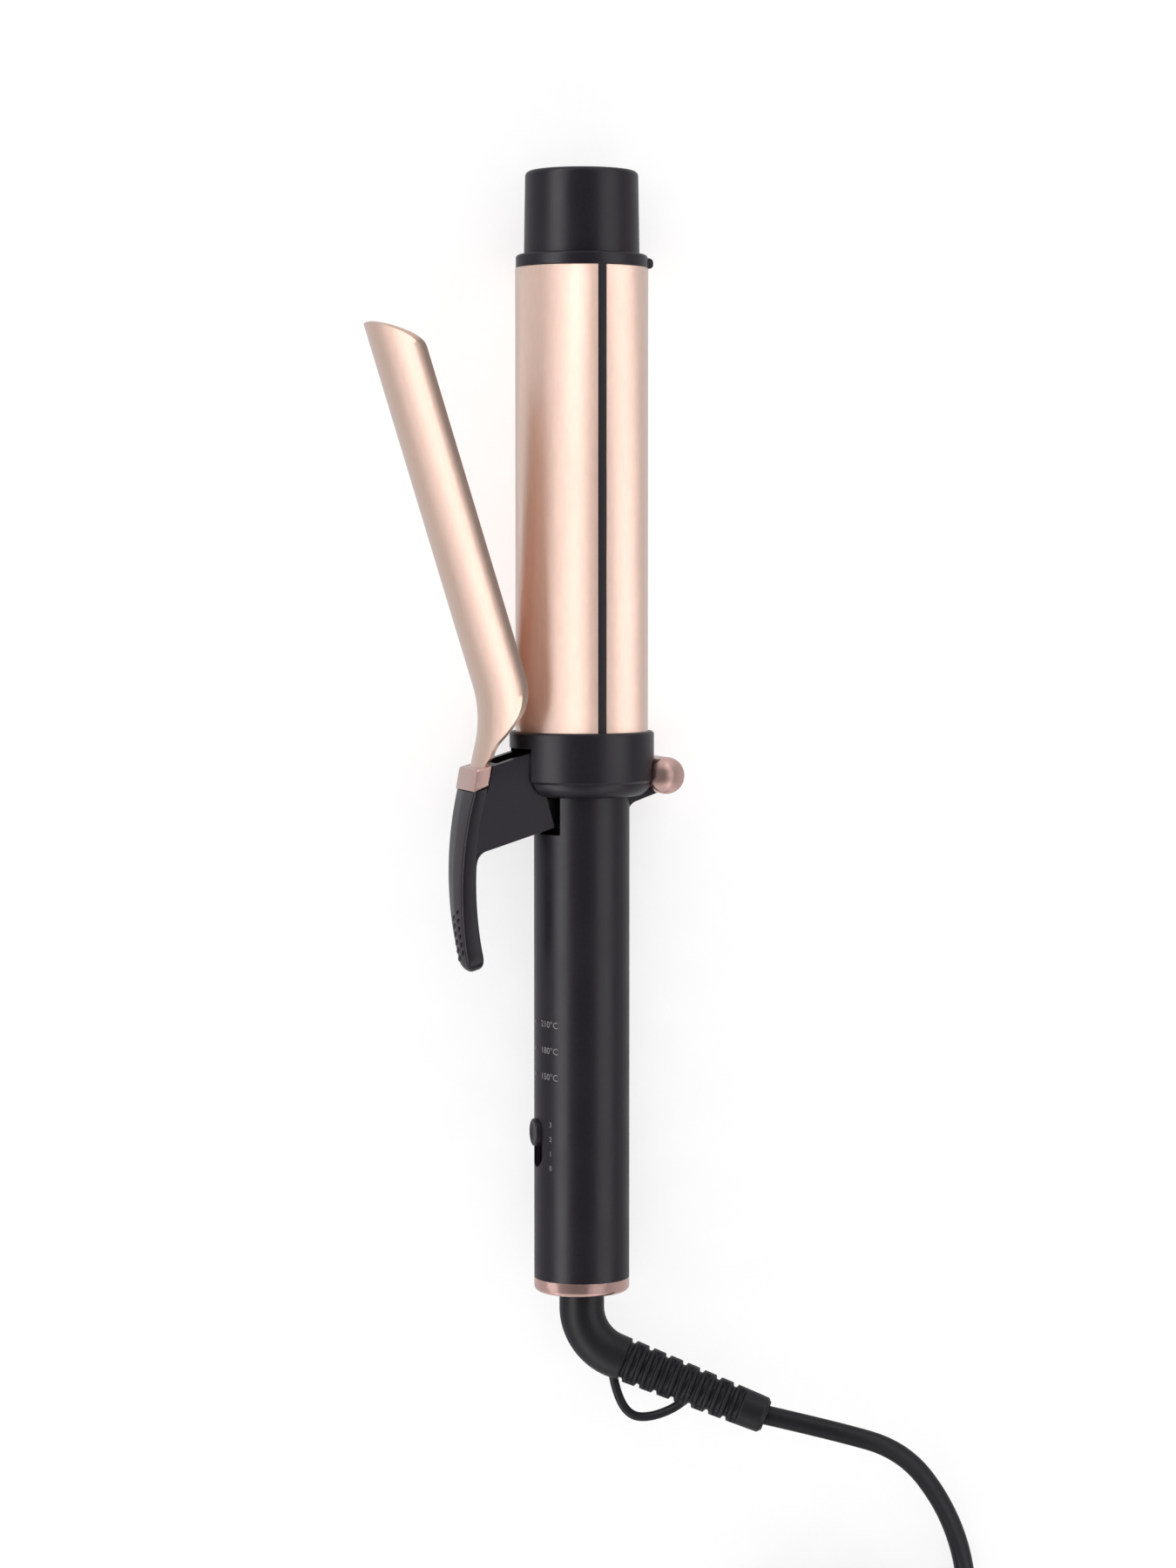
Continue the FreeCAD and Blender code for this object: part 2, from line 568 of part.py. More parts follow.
def slider_pieces():
    oval = made("Part::Ellipse", "knob_oval", MajorRadius="knob_half_length", MinorRadius="knob_half_width")
    oval.Placement.Rotation = Rotation(Vector(0, 0, 1), Vector(0, 1, 0), Vector(1, 0, 0), "ZXY")
    placed(oval, "-knob_top", "switch_y", "0")
    boss = made("Part::Extrusion", "knob_boss", LengthFwd="knob_top - shutter_inner + 0.6")
    boss.Base = oval
    boss.Dir = (1, 0, 0)
    boss.DirMode = "Custom"
    boss.Solid = True
    dish = made("Part::Sphere", "knob_dish", Radius="14")
    placed(dish, "-knob_top - 13.2", "switch_y", "0")
    stem = rod("knob_stem", 0.9, "shutter_inner + board_front - 3", x="-shutter_inner", y="switch_y",
        along="X")
    yield "slider_knob", joined("knob", less("dished_boss", boss, dish), stem)
    low, high = "switch_y - 11.5", "switch_y + 11.2"
    plate = shared(
        "shutter_plate",
        less("shutter_ring", rod("shutter_round", "shutter_outer", f"({high}) - ({low})", y=low),
             rod("shutter_hollow", "shutter_inner", f"({high}) - ({low})", y=low)),
        block("shutter_side", ("-shutter_outer", "-8"), (low, high), ("-6.4", "6.4")))
    yield "slider_shutter", less("shutter", plate, boss)


# --- tail and swivel -----------------------------------------------------------------------

def tail_pieces():
    yield "tail_ring", turned("tail_ring_turned", [
        ("tail_bore", "handle_end"), ("tail_bore", "tail_end"), ("handle_radius - tail_round", "tail_end",
            "-tail_round"),
        ("handle_radius", "tail_end + tail_round"), ("handle_radius", "handle_end")])
    bore = "spindle_radius + spindle_clearance"
    yield "swivel_socket", turned("socket_turned", [
        (bore, "socket_top"), (bore, "tail_end + 0.2"), ("tail_bore", "tail_end + 0.2"), ("tail_bore",
            "handle_end"),
        ("handle_bore", "handle_end"), ("handle_bore", "socket_top + 3"), ("8.5", "socket_top")])
    leaves = []
    for side, sign in (("near", 1), ("far", -1)):
        upright = ("5.9", "6.5") if sign > 0 else ("-6.5", "-5.9")
        foot = ("3.75", "6.5") if sign > 0 else ("-6.5", "-3.75")
        height = -137.5 if sign > 0 else -141.5
        leaves.append(joined(
            "leaf_" + side, block("leaf_upright_" + side, (-3.3, -0.3), ("socket_top", -135), upright),
            block("leaf_foot_" + side, (-1.5, 1.5), (height - 0.5, height + 0.5), foot)))
    yield "swivel_contacts", group("contacts", *leaves)
    yield "mains_wires", group("wires", *[rod(
        "mains_wire_" + side, 0.7, "board_low + 135", x="board_front + board_thickness / 2", y=-135, z=z)
        for side, z in (("near", 6.2), ("far", -6.2))])


def swivel_pieces():
    spindle = turned("spindle_turned", [
        ("1.6", "relief_top"), ("spindle_radius", "relief_top"), ("spindle_radius", "socket_top + 0.1"),
        ("3", "socket_top + 0.1"), ("3", "-134"), ("1.6", "-134")])
    yield "swivel_spindle", spindle
    yield "slip_rings", group("rings", *[turned(f"slip_ring_{index}", [
        ("3", f"{y} - 1"), ("3.6", f"{y} - 1"), ("3.6", f"{y} + 1"), ("3", f"{y} + 1")])
        for index, y in enumerate((-137.5, -141.5))])
    yield "swivel_clip", turned("clip_turned", [
        ("3", "socket_top + 0.2"), ("5.5", "socket_top + 0.2"), ("5.5", "socket_top + 1"), ("3",
            "socket_top + 1")])
    stub = rod("relief_straight", "relief_radius", "relief_stub", y="relief_top - relief_stub")
    elbow = made("Part::Torus", "relief_elbow", Radius1="elbow_radius", Radius2="sleeve_start",
        Angle3="elbow_angle")
    elbow.Placement.Rotation = Rotation(Vector(0, 0, 1), 180)
    placed(elbow, "elbow_radius", "relief_top - relief_stub", "0")
    turn = math.radians(size("elbow_angle"))
    sleeve = made("Part::Cone", "relief_sleeve", Radius1="sleeve_start", Radius2="sleeve_end",
        Height="sleeve_length")
    sleeve.Placement = Placement(
        Vector(size("elbow_radius") * (1 - math.cos(turn)),
               size("relief_top - relief_stub") - size("elbow_radius") * math.sin(turn), 0),
        Rotation(Vector(0, 0, 1), Vector(math.sin(turn), -math.cos(turn), 0)))
    relief = joined("relief", stub, elbow, sleeve)
    yield "strain_relief", group("relief_whole", relief)
    yield "hang_loop", less("loop", tube("loop_tube", [point + (0,) for point in LOOP_ROUTE],
        "loop_radius"), relief)


# --- clamp ---------------------------------------------------------------------------------

def clamp_point(outward, above, *bow):
    """A point of the closed clamp: distance from the iron's axis, height above the pivot."""
    return (f"-({outward})", f"pivot_y + {above}") + bow


def clamp_pieces():
    outer = "blade_inner + blade_thickness"
    turn = math.radians(size("bend_angle"))
    middle = "blade_inner + blade_thickness + bend_radius"
    length = "blade_end - bend_start"
    straight = less("blade_tube", rod("blade_round", outer, length, y="pivot_y + bend_start"),
                    rod("blade_hollow", "blade_inner", length, y="pivot_y + bend_start"))
    rings = []
    for name, radius in (("neck_round", outer), ("neck_hollow", "blade_inner")):
        ring = made("Part::Torus", name, Radius1=middle, Radius2=radius, Angle3="bend_angle")
        ring.Placement.Rotation = Rotation(Vector(0, 0, 1), -size("bend_angle"))
        rings.append(placed(ring, f"-({middle})", "pivot_y + bend_start", "0"))
    neck = less("neck_tube", *rings)
    foot = Vector(size(middle) * (math.cos(turn) - 1),
        size("pivot_y + bend_start") - size(middle) * math.sin(turn), 0)
    down = Vector(-math.sin(turn), -math.cos(turn), 0)
    tubes = []
    for name, radius in (("tongue_round", outer), ("tongue_hollow", "blade_inner")):
        solid = made("Part::Cylinder", name, Radius=radius, Height="tongue_length")
        solid.Placement = Placement(foot, Rotation(Vector(0, 0, 1), down))
        tubes.append(solid)
    tongue_tube = less("tongue_tube", *tubes)
    plan = slab("blade_plan", PLAN_VIEW, mirrored([
        ("tongue_half", "pivot_y + 1"), ("tongue_half", "pivot_y + 13.5"), ("neck_foot_half",
            "pivot_y + 14.5"),
        ("neck_foot_half", "pivot_y + 18.2"), ("neck_half", "pivot_y + 19.4"), ("neck_half",
            "pivot_y + 20.5", "12"),
        ("blade_half - 4.2", "pivot_y + 25.4", "-15.6"), ("blade_half", "pivot_y + 37"),
        ("blade_half", "pivot_y + blade_end - blade_tip")]), "7", "45")
    tip_oval = made("Part::Ellipse", "tip_oval", MajorRadius="blade_half", MinorRadius="blade_tip")
    tip_oval.Placement.Rotation = PLAN_VIEW.Rotation
    placed(tip_oval, "-7", "pivot_y + blade_end - blade_tip", "0")
    tip_plan = made("Part::Extrusion", "tip_plan", LengthFwd="38")
    tip_plan.Base = tip_oval
    tip_plan.Dir = (-1, 0, 0)
    tip_plan.DirMode = "Custom"
    tip_plan.Solid = True
    rivets = []
    inward = Vector(math.cos(turn), -math.sin(turn), 0)
    start = foot + down * 17 - inward * size(outer)
    for index, z in enumerate((-2.5, 2.5)):
        rivet = made("Part::Cylinder", f"rivet_{index}", Radius="1.2", Height="4.4")
        rivet.Placement = Placement(start + Vector(0, 0, z), Rotation(Vector(0, 0, 1), inward))
        rivets.append(rivet)
    strip = shared("strip", joined("blade_surface", straight, neck, tongue_tube), joined("whole_plan",
        plan, tip_plan))
    blade = less("blade", strip, *rivets)
    yield "clamp_blade", blade
    yield "clamp_rivets", group("rivets", *rivets)

    block_of_ferrule = slab("ferrule_block", SIDE_VIEW, [
        clamp_point("32.3", "11.8"), clamp_point("29.3", "17.6"), clamp_point("24.7", "17.4"),
        clamp_point("27.5", "12.15")], "-ferrule_half", "ferrule_half")
    bevelled = doc.addObject("Part::Chamfer", "ferrule_bevelled")
    bevelled.Base = block_of_ferrule
    bevel = size("ferrule_chamfer")
    bevelled.Edges = [(index, bevel, bevel) for index in range(1, 13)]
    yield "clamp_ferrule", less("ferrule", bevelled, strip)

    bar = slab("lever_bar", SIDE_VIEW, [
        clamp_point("32", "11.7", "-lever_bow"), clamp_point("47.2", "-33.4", "-6"), clamp_point("46",
            "-37.2"),
        clamp_point("43.3", "-38.2", "-3"), clamp_point("42.2", "-35.8", "lever_bow - lever_thickness"),
        clamp_point("27.3", "12.05")], "-lever_half", "lever_half")
    web = slab("lever_web", SIDE_VIEW, [
        clamp_point("12", "-web_low"), clamp_point("36.2", "-web_low"), clamp_point("31", "5"),
        clamp_point("28.2", "10.8"), clamp_point("24.4", "17.5"), clamp_point("12", "16.8")],
        "-lever_half", "lever_half")
    hollow = slab("lever_hollow", SIDE_VIEW, [
        clamp_point("11", "-web_low - 1"), clamp_point("17.2", "-web_low - 1"), clamp_point("17.2",
            "1.2 - web_low"),
        clamp_point("33.5", "1.2 - web_low"), clamp_point("30", "3"), clamp_point("24.5", "12"),
        clamp_point("22.5", "18"), clamp_point("11", "18")], "-web_half", "web_half")
    plan = slab("lever_plan", PLAN_VIEW, mirrored([
        ("lever_end_half", "pivot_y - lever_end"), ("lever_end_half + 1.3", "pivot_y - 24"),
        ("lever_half - 2.3", "pivot_y - 12"), ("lever_half", "pivot_y + 13"), ("lever_half",
            "pivot_y + 18")]),
        "7", "54")
    end_round = rod("lever_end_round", "lever_end_half", "50", x="-54", y="pivot_y - lever_end", along="X")
    whole = shared("lever_whole", joined("lever_solid", bar, web), joined("lever_outline", plan, end_round))
    pin_way = rod("pin_way", "pin_radius + pin_clearance", "pin_half * 2 + 0.4", x="-pivot_offset",
        y="pivot_y",
                  z="-pin_half - 0.2", along="Z")
    yield "clamp_lever", less("lever", whole, hollow, pin_way, strip, *rivets)


def spring_piece():
    coil = made("Part::Helix", "spring_helix", Radius="2.7", Pitch="1.1", Height="4.4")
    placed(coil, "-pivot_offset", "pivot_y", "-2.2")
    wire = made("Part::Circle", "spring_wire", Radius="0.45")
    wire.Placement.Rotation = Rotation(Vector(1, 0, 0), 90)
    placed(wire, "2.7 - pivot_offset", "pivot_y", "-2.2")
    spring = doc.addObject("Part::Sweep", "spring_sweep")
    spring.Sections = [wire]
    spring.Spine = (coil, [])
    spring.Solid = True
    spring.Frenet = True
    return spring


# --- cord, coil and plug: drawn on the table, from the foot of the iron's axis ----------------

def cord_pieces():
    yield "cord_lead", tube("lead_tube", LEAD_ROUTE, "cord_radius")
    yield "cord_tail", tube("tail_tube", TAIL_ROUTE, "cord_radius")
    inner, outer = "coil_radius - coil_turn * 1.5", "coil_radius + coil_turn * 1.5"
    low, high = "tie_thickness", "tie_thickness + coil_turn * 3"
    coil = turned("coil_turned", [
        (inner, f"{low} + cord_radius"), (f"{inner} + cord_radius", low), (f"{outer} - cord_radius", low),
        (outer, f"{low} + cord_radius"), (outer, f"{high} - cord_radius"), (f"{outer} - cord_radius", high),
        (f"{inner} + cord_radius", high), (inner, f"{high} - cord_radius")])
    placed(coil, "coil_x", "coil_y", "0", Rotation(Vector(1, 0, 0), 90))
    yield "cord_coil", group("coil", coil)
    near, far = f"coil_x - ({outer})", f"coil_x - ({inner})"
    sides = ("coil_y - tie_width / 2", "coil_y + tie_width / 2")
    yield "cord_tie", less(
        "tie", block("tie_outer", (f"{near} - tie_thickness", f"{far} + 0.6 + tie_thickness"), sides,
                     ("0", f"{high} + tie_thickness")),
        block("tie_inner", (f"{near} - 0.05", f"{far} + 0.6"), sides, (low, high)))
    front, back = TAIL_ROUTE[-1][0] - size("plug_length"), TAIL_ROUTE[-1][0]
    middle = TAIL_ROUTE[-1][1]
    half = size("plug_width") / 2
    yield "plug_body", slab("plug", SIDE_VIEW, [
        (back, middle + 6), (back - 9, middle + 7.5), (front + 12, middle + half - 1.5), (front,
            middle + half),
        (front, middle - half), (front + 12, middle - half + 1.5), (back - 9, middle - 7.5), (back,
            middle - 6)],
        "0", "plug_height")
    yield "plug_pins", group("pins", *[rod(
        f"plug_pin_{index}", "prong_radius", "prong_length", x=f"{front} - prong_length",
        y=f"{middle} + ({side}) * prong_spacing / 2", z="plug_height / 2", along="X")
        for index, side in enumerate((-1, 1))])


# --- the assembly --------------------------------------------------------------------------

def pieces_by_body():
    iron = [*barrel_pieces(), *tip_pieces(), *heater_pieces(), *handle_pieces(), *electronics_pieces(),
        *tail_pieces()]
    return {
        "iron": iron,
        "clamp": list(clamp_pieces()),
        "spring": [("clamp_spring", spring_piece())],
        "slider": list(slider_pieces()),
        "swivel": list(swivel_pieces()),
        "cord": list(cord_pieces()),
    }


def lying_placements():
    """Where each body's own frame goes, from the foot of the iron's axis on the table."""
    lift = Vector(0, 0, size("collar_radius"))
    along = Vector(0, 1, 0)
    lying = Placement(lift, Rotation(along, size("roll_angle")))
    pivot = Vector(-size("pivot_offset"), size("pivot_y"), 0)
    opened = Placement(Vector(), Rotation(Vector(0, 0, 1), size("open_angle")), pivot)
    return {
        "iron": lying, "slider": lying, "spring": lying,
        "clamp": lying.multiply(opened),
        "swivel": Placement(lift, Rotation(along, -size("swivel_lift"))),
        "cord": Placement(),
    }


def main():
    bodies = pieces_by_body()
    doc.recompute()
    placements = lying_placements()
    box = FreeCAD.BoundBox()
    for name, pieces in bodies.items():
        for label, piece in pieces:
            piece.Label = label
            piece.Placement = placements[name].multiply(piece.Placement)
            if name != "cord":
                box.add(piece.Shape.optimalBoundingBox(False))
    origin = Placement(Vector(-box.Center.x, -box.Center.y, 0), Rotation())
    doc.recompute()
    broken = [thing.Label for thing in doc.Objects if {"Invalid", "Error"} & set(thing.State)]
    if broken:
        raise SystemExit(f"failed objects: {broken}")
    print(f"box without the cord: {box.XLength:.2f} x {box.YLength:.2f} x {box.ZLength:.2f}")
    print(f"lowest point: {box.ZMin:.3f}")
    print(f"origin from the foot of the collar's top: {box.Center.x:.3f}, {box.Center.y:.3f}")
    os.makedirs("parts", exist_ok=True)
    for pieces in bodies.values():
        for label, piece in pieces:
            piece.Placement = origin.multiply(piece.Placement)
            shape = piece.Shape
            if shape.isNull() or not shape.isValid() or not shape.Solids:
                raise SystemExit(f"{label}: no valid solid")
            shape.exportStep(f"parts/{label}.step")
            print(f"{label}: {len(shape.Solids)} solids, {shape.Volume / 1000:.3f} cm3")


main()
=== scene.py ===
"""Curling iron on a pale floor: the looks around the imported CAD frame.

Pieces are drawn in millimetres in the frames that the iron, its open clamp and its cord's
swivel have in part.py, and are then put where those frames lie in the row frame.
"""

import json
import math

import bmesh
import bpy
from mathutils import Matrix, Vector

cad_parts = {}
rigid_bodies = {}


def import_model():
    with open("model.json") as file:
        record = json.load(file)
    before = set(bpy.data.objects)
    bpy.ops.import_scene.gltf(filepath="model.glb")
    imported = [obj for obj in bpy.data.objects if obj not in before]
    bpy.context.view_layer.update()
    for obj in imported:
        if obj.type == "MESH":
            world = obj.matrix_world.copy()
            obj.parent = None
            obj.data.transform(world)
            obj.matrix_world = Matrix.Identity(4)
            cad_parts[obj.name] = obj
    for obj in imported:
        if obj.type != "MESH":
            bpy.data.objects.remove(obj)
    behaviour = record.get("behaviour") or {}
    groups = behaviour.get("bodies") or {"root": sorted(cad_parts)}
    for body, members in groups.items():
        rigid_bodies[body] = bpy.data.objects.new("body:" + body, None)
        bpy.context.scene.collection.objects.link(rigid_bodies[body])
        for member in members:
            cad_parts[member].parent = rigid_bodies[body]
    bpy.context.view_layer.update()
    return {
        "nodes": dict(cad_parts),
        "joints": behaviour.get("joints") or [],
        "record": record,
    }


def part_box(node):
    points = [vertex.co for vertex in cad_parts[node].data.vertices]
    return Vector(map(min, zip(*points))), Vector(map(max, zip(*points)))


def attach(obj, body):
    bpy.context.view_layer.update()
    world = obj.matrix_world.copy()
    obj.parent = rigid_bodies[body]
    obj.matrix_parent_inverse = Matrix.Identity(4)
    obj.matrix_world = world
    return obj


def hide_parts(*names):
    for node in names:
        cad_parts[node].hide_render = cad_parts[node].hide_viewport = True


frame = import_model()

# --- where things are ----------------------------------------------------------------------

TIP_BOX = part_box("cool_tip")
AXIS_X = (TIP_BOX[0].x + TIP_BOX[1].x) / 2
AXIS_Z = (TIP_BOX[0].z + TIP_BOX[1].z) / 2
COLLAR_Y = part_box("handle_housing")[1].y

JOINTS = {joint["name"]: joint for joint in frame["joints"]}
HINGE = JOINTS["clamp_hinge"]
ROLL = math.atan2(HINGE["axis"][0], HINGE["axis"][2])
OPENING = math.radians(-HINGE["range_deg"][0])
SWIVEL_LIFT = math.radians(8)

PIVOT_OFFSET, PIVOT_Y = 16, -23.1
TO_METRES = Matrix.Scale(0.001, 4)
TABLE = Matrix.Translation((AXIS_X, COLLAR_Y, 0)) @ TO_METRES
AXIS = Matrix.Translation((AXIS_X, COLLAR_Y, AXIS_Z))
IRON = AXIS @ Matrix.Rotation(ROLL, 4, "Y") @ TO_METRES
SWIVEL = AXIS @ Matrix.Rotation(-SWIVEL_LIFT, 4, "Y") @ TO_METRES
# The clamp's own frame: x is the distance outwards from the iron's axis, y the height above the pivot.
OPENED = (Matrix.Translation((-PIVOT_OFFSET, PIVOT_Y, 0)) @ Matrix.Rotation(OPENING, 4, "Z")
          @ Matrix.Translation((PIVOT_OFFSET, 0, 0)))
CLAMP = IRON @ OPENED @ Matrix.Diagonal((-1, 1, 1, 1))


# --- materials -----------------------------------------------------------------------------

def grain(nodes, links, scale, stretch=(1, 1, 1), detail=3.0):
    """Noise in the object's own millimetres, stretched along its axes."""
    place = nodes.new("ShaderNodeTexCoord")
    mapping = nodes.new("ShaderNodeMapping")
    mapping.inputs["Scale"].default_value = [factor * scale for factor in stretch]
    noise = nodes.new("ShaderNodeTexNoise")
    noise.inputs["Scale"].default_value = 1.0
    noise.inputs["Detail"].default_value = detail
    links.new(place.outputs["Object"], mapping.inputs["Vector"])
    links.new(mapping.outputs["Vector"], noise.inputs["Vector"])
    return noise.outputs["Fac"]


def spread(nodes, links, value, low, high):
    """The middle of a noise's range, stretched to run from low to high."""
    ramp = nodes.new("ShaderNodeMapRange")
    ramp.inputs["From Min"].default_value = 0.3
    ramp.inputs["From Max"].default_value = 0.7
    ramp.inputs["To Min"].default_value = low
    ramp.inputs["To Max"].default_value = high
    links.new(value, ramp.inputs["Value"])
    return ramp.outputs["Result"]


def finish_of(name, colour, roughness, metallic=0.0, grain_scale=900.0, stretch=(1, 1, 1), tint=0.06,
              rough_spread=0.06, bump=0.1, bump_scale=2500.0, **sockets):
    """A surface whose colour, gloss and relief vary a little with a fine grain."""
    material = bpy.data.materials.new(name)
    material.use_nodes = True
    nodes, links = material.node_tree.nodes, material.node_tree.links
    shader = nodes["Principled BSDF"]
    shader.inputs["Metallic"].default_value = metallic
    for socket, value in sockets.items():
        shader.inputs[socket.replace("_", " ")].default_value = value
    fine = grain(nodes, links, grain_scale, stretch)
    mix = nodes.new("ShaderNodeMix")
    mix.data_type = "RGBA"
    dark = [channel * (1 - tint) for channel in colour]
    light = [min(1, channel * (1 + tint)) for channel in colour]
    mix.inputs["A"].default_value = (*dark, 1)
    mix.inputs["B"].default_value = (*light, 1)
    links.new(spread(nodes, links, fine, 0, 1), mix.inputs["Factor"])
    links.new(mix.outputs["Result"], shader.inputs["Base Color"])
    wide = grain(nodes, links, grain_scale / 12, stretch)
    links.new(spread(nodes, links, wide, roughness - rough_spread, roughness + rough_spread),
              shader.inputs["Roughness"])
    relief = nodes.new("ShaderNodeBump")
    relief.inputs["Strength"].default_value = bump
    relief.inputs["Distance"].default_value = 0.0001
    links.new(grain(nodes, links, bump_scale, stretch, 2.0), relief.inputs["Height"])
    links.new(relief.outputs["Normal"], shader.inputs["Normal"])
    return material


CHAMPAGNE = (0.80, 0.565, 0.465)
ROSE = (0.72, 0.47, 0.43)
MATERIALS = {
    "barrel_coat": finish_of("barrel_coat", CHAMPAGNE, 0.34, 0.92, stretch=(1, 0.25, 1), tint=0.03,
                             rough_spread=0.03, bump=0.03, Coat_Weight=1.0, Coat_Roughness=0.3),
    "blade_coat": finish_of("blade_coat", CHAMPAGNE, 0.33, 0.92, stretch=(1, 0.25, 1), tint=0.03,
                            rough_spread=0.03, bump=0.03, Coat_Weight=1.0, Coat_Roughness=0.3),
    "rose_metal": finish_of("rose_metal", ROSE, 0.24, 1.0, tint=0.03, rough_spread=0.04, bump=0.02,
                            Coat_Weight=0.2, Coat_Roughness=0.15),
    "black_plastic": finish_of("black_plastic", (0.0085, 0.0064, 0.0108), 0.36, tint=0.12, bump=0.16,
                               rough_spread=0.04, Specular_IOR_Level=0.3),
    "inner_plastic": finish_of("inner_plastic", (0.55, 0.50, 0.42), 0.5),
    "black_rubber": finish_of("black_rubber", (0.0068, 0.0066, 0.0085), 0.45, tint=0.15, bump=0.2,
                              rough_spread=0.05, Specular_IOR_Level=0.25),
    "spreader_metal": finish_of("spreader_metal", (0.6, 0.6, 0.61), 0.35, 1.0, stretch=(1, 0.1, 1)),
    "heater_ceramic": finish_of("heater_ceramic", (0.09, 0.08, 0.075), 0.6),
    "brass": finish_of("brass", (0.70, 0.46, 0.16), 0.3, 1.0),
    "film": finish_of("film", (0.55, 0.22, 0.03), 0.25),
    "steel": finish_of("steel", (0.5, 0.5, 0.52), 0.28, 1.0, stretch=(1, 0.2, 1)),
    "plug_metal": finish_of("plug_metal", (0.66, 0.65, 0.62), 0.2, 1.0, tint=0.04),
    "board_green": finish_of("board_green", (0.01, 0.10, 0.035), 0.35),
    "parts_grey": finish_of("parts_grey", (0.05, 0.05, 0.055), 0.45),
    "wire_cover": finish_of("wire_cover", (0.7, 0.7, 0.66), 0.4),
    "light_clear": finish_of("light_clear", (0.004, 0.004, 0.005), 0.12, Coat_Weight=0.5),
    "ink": finish_of("ink", (0.16, 0.16, 0.165), 0.55, tint=0.05),
    "floor": finish_of("floor", (0.9, 0.9, 0.9), 0.6, tint=0.004, bump=0.01),
}


def strap_material():
    """Hook-and-loop strap: a fine cross weave."""
    material = finish_of("strap", (0.012, 0.012, 0.014), 0.85, tint=0.3, grain_scale=2500, Sheen_Weight=0.3)
    nodes, links = material.node_tree.nodes, material.node_tree.links
    place = nodes.new("ShaderNodeTexCoord")
    waves = []
    for direction in ("X", "Y"):
        wave = nodes.new("ShaderNodeTexWave")
        wave.bands_direction = direction
        wave.inputs["Scale"].default_value = 400
        links.new(place.outputs["Object"], wave.inputs["Vector"])
        waves.append(wave.outputs["Fac"])
    both = nodes.new("ShaderNodeMath")
    both.operation = "MULTIPLY"
    links.new(waves[0], both.inputs[0])
    links.new(waves[1], both.inputs[1])
    relief = nodes.new("ShaderNodeBump")
    relief.inputs["Strength"].default_value = 0.5
    relief.inputs["Distance"].default_value = 0.0002
    links.new(both.outputs[0], relief.inputs["Height"])
    links.new(relief.outputs["Normal"], nodes["Principled BSDF"].inputs["Normal"])
    return material


MATERIALS["strap"] = strap_material()

# Every CAD node takes the material of its record slot.
for part in frame["record"]["subparts"]:
    node = frame["nodes"][part["node"]]
    node.data.materials.clear()
    node.data.materials.append(MATERIALS[part["material_slot"]])


# --- mesh helpers --------------------------------------------------------------------------

def piece(name, vertices, faces, place, slot, body, *nodes, bevel=0.0, flat=False, sharp=35):
    """A mesh piece in the row frame, with its finish, riding on a body in place of CAD nodes."""
    mesh = bpy.data.meshes.new(name)
    mesh.from_pydata([tuple(vertex) for vertex in vertices], [], faces)
    shell = bmesh.new()
    shell.from_mesh(mesh)
    bmesh.ops.remove_doubles(shell, verts=shell.verts, dist=1e-4)
    if bevel:
        edges = [edge for edge in shell.edges
                 if len(edge.link_faces) == 2 and edge.calc_face_angle() > math.radians(sharp)]
        bmesh.ops.bevel(shell, geom=edges, offset=bevel, segments=3, profile=0.6, affect="EDGES")
    bmesh.ops.recalc_face_normals(shell, faces=shell.faces)
    shell.to_mesh(mesh)
    shell.free()
    mesh.transform(place)
    if place.determinant() < 0:
        mesh.flip_normals()
    for polygon in mesh.polygons:
        polygon.use_smooth = not flat
    mesh.set_sharp_from_angle(angle=math.radians(sharp))
    mesh.materials.append(MATERIALS[slot])
    thing = bpy.data.objects.new(name, mesh)
    bpy.context.scene.collection.objects.link(thing)
    if nodes:
        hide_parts(*nodes)
    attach(thing, body)
    return thing


def loft(sections, closed=False, capped=True):
    """Faces between rings of points, with the first and last ring filled."""
    count = len(sections[0])
    vertices = [point for ring in sections for point in ring]
    faces = []
    for row in range(len(sections) - (0 if closed else 1)):
        after = (row + 1) % len(sections)
        for column in range(count):
            beside = (column + 1) % count
            faces.append((row * count + column, row * count + beside,
                          after * count + beside, after * count + column))
    if capped and not closed:
        faces.append(tuple(range(count - 1, -1, -1)))
        faces.append(tuple((len(sections) - 1) * count + column for column in range(count)))
    return vertices, faces


def rounded(points, steps=6):
    """A polyline whose corners (x, y, radius) are turned into arcs."""
    line = []
    for index, (x, y, radius) in enumerate(points):
        corner = Vector((x, y))
        if not radius:
            line.append(corner)
            continue
        before = Vector(points[index - 1][:2]) - corner
        after = Vector(points[(index + 1) % len(points)][:2]) - corner
        half = before.angle(after) / 2
        trim = radius / math.tan(half)
        first = corner + before.normalized() * trim
        last = corner + after.normalized() * trim
        centre = corner + (before.normalized() + after.normalized()).normalized() * radius / math.sin(half)
        start = first - centre
        turn = start.angle_signed(last - centre)
        for step in range(steps + 1):
            line.append(centre + Matrix.Rotation(-turn * step / steps, 2) @ start)
    return line


def lathed(outline, centre=(0, 0, 0), axis="Y", segments=128):
    """A closed outline of (radius, along) turned about a line through the centre."""
    sections = []
    for step in range(segments):
        angle = 2 * math.pi * step / segments
        ring = []
        for radius, along in outline:
            across, up = radius * math.cos(angle), radius * math.sin(angle)
            if axis == "Y":
                ring.append((centre[0] + across, centre[1] + along, centre[2] + up))
            else:
                ring.append((centre[0] + across, centre[1] + up, centre[2] + along))
        sections.append(ring)
    return loft(sections, closed=True)


def prism(outline, low, high):
    """An outline in x and y pushed from low to high along z."""
    return loft([[(x, y, height) for x, y in outline] for height in (low, high)])


def merged(*meshes):
    vertices, faces = [], []
    for more, sides in meshes:
        faces += [tuple(len(vertices) + index for index in side) for side in sides]
        vertices += more
    return vertices, faces


def smoothstep(value):
    value = min(1, max(0, value))
    return value * value * (3 - 2 * value)


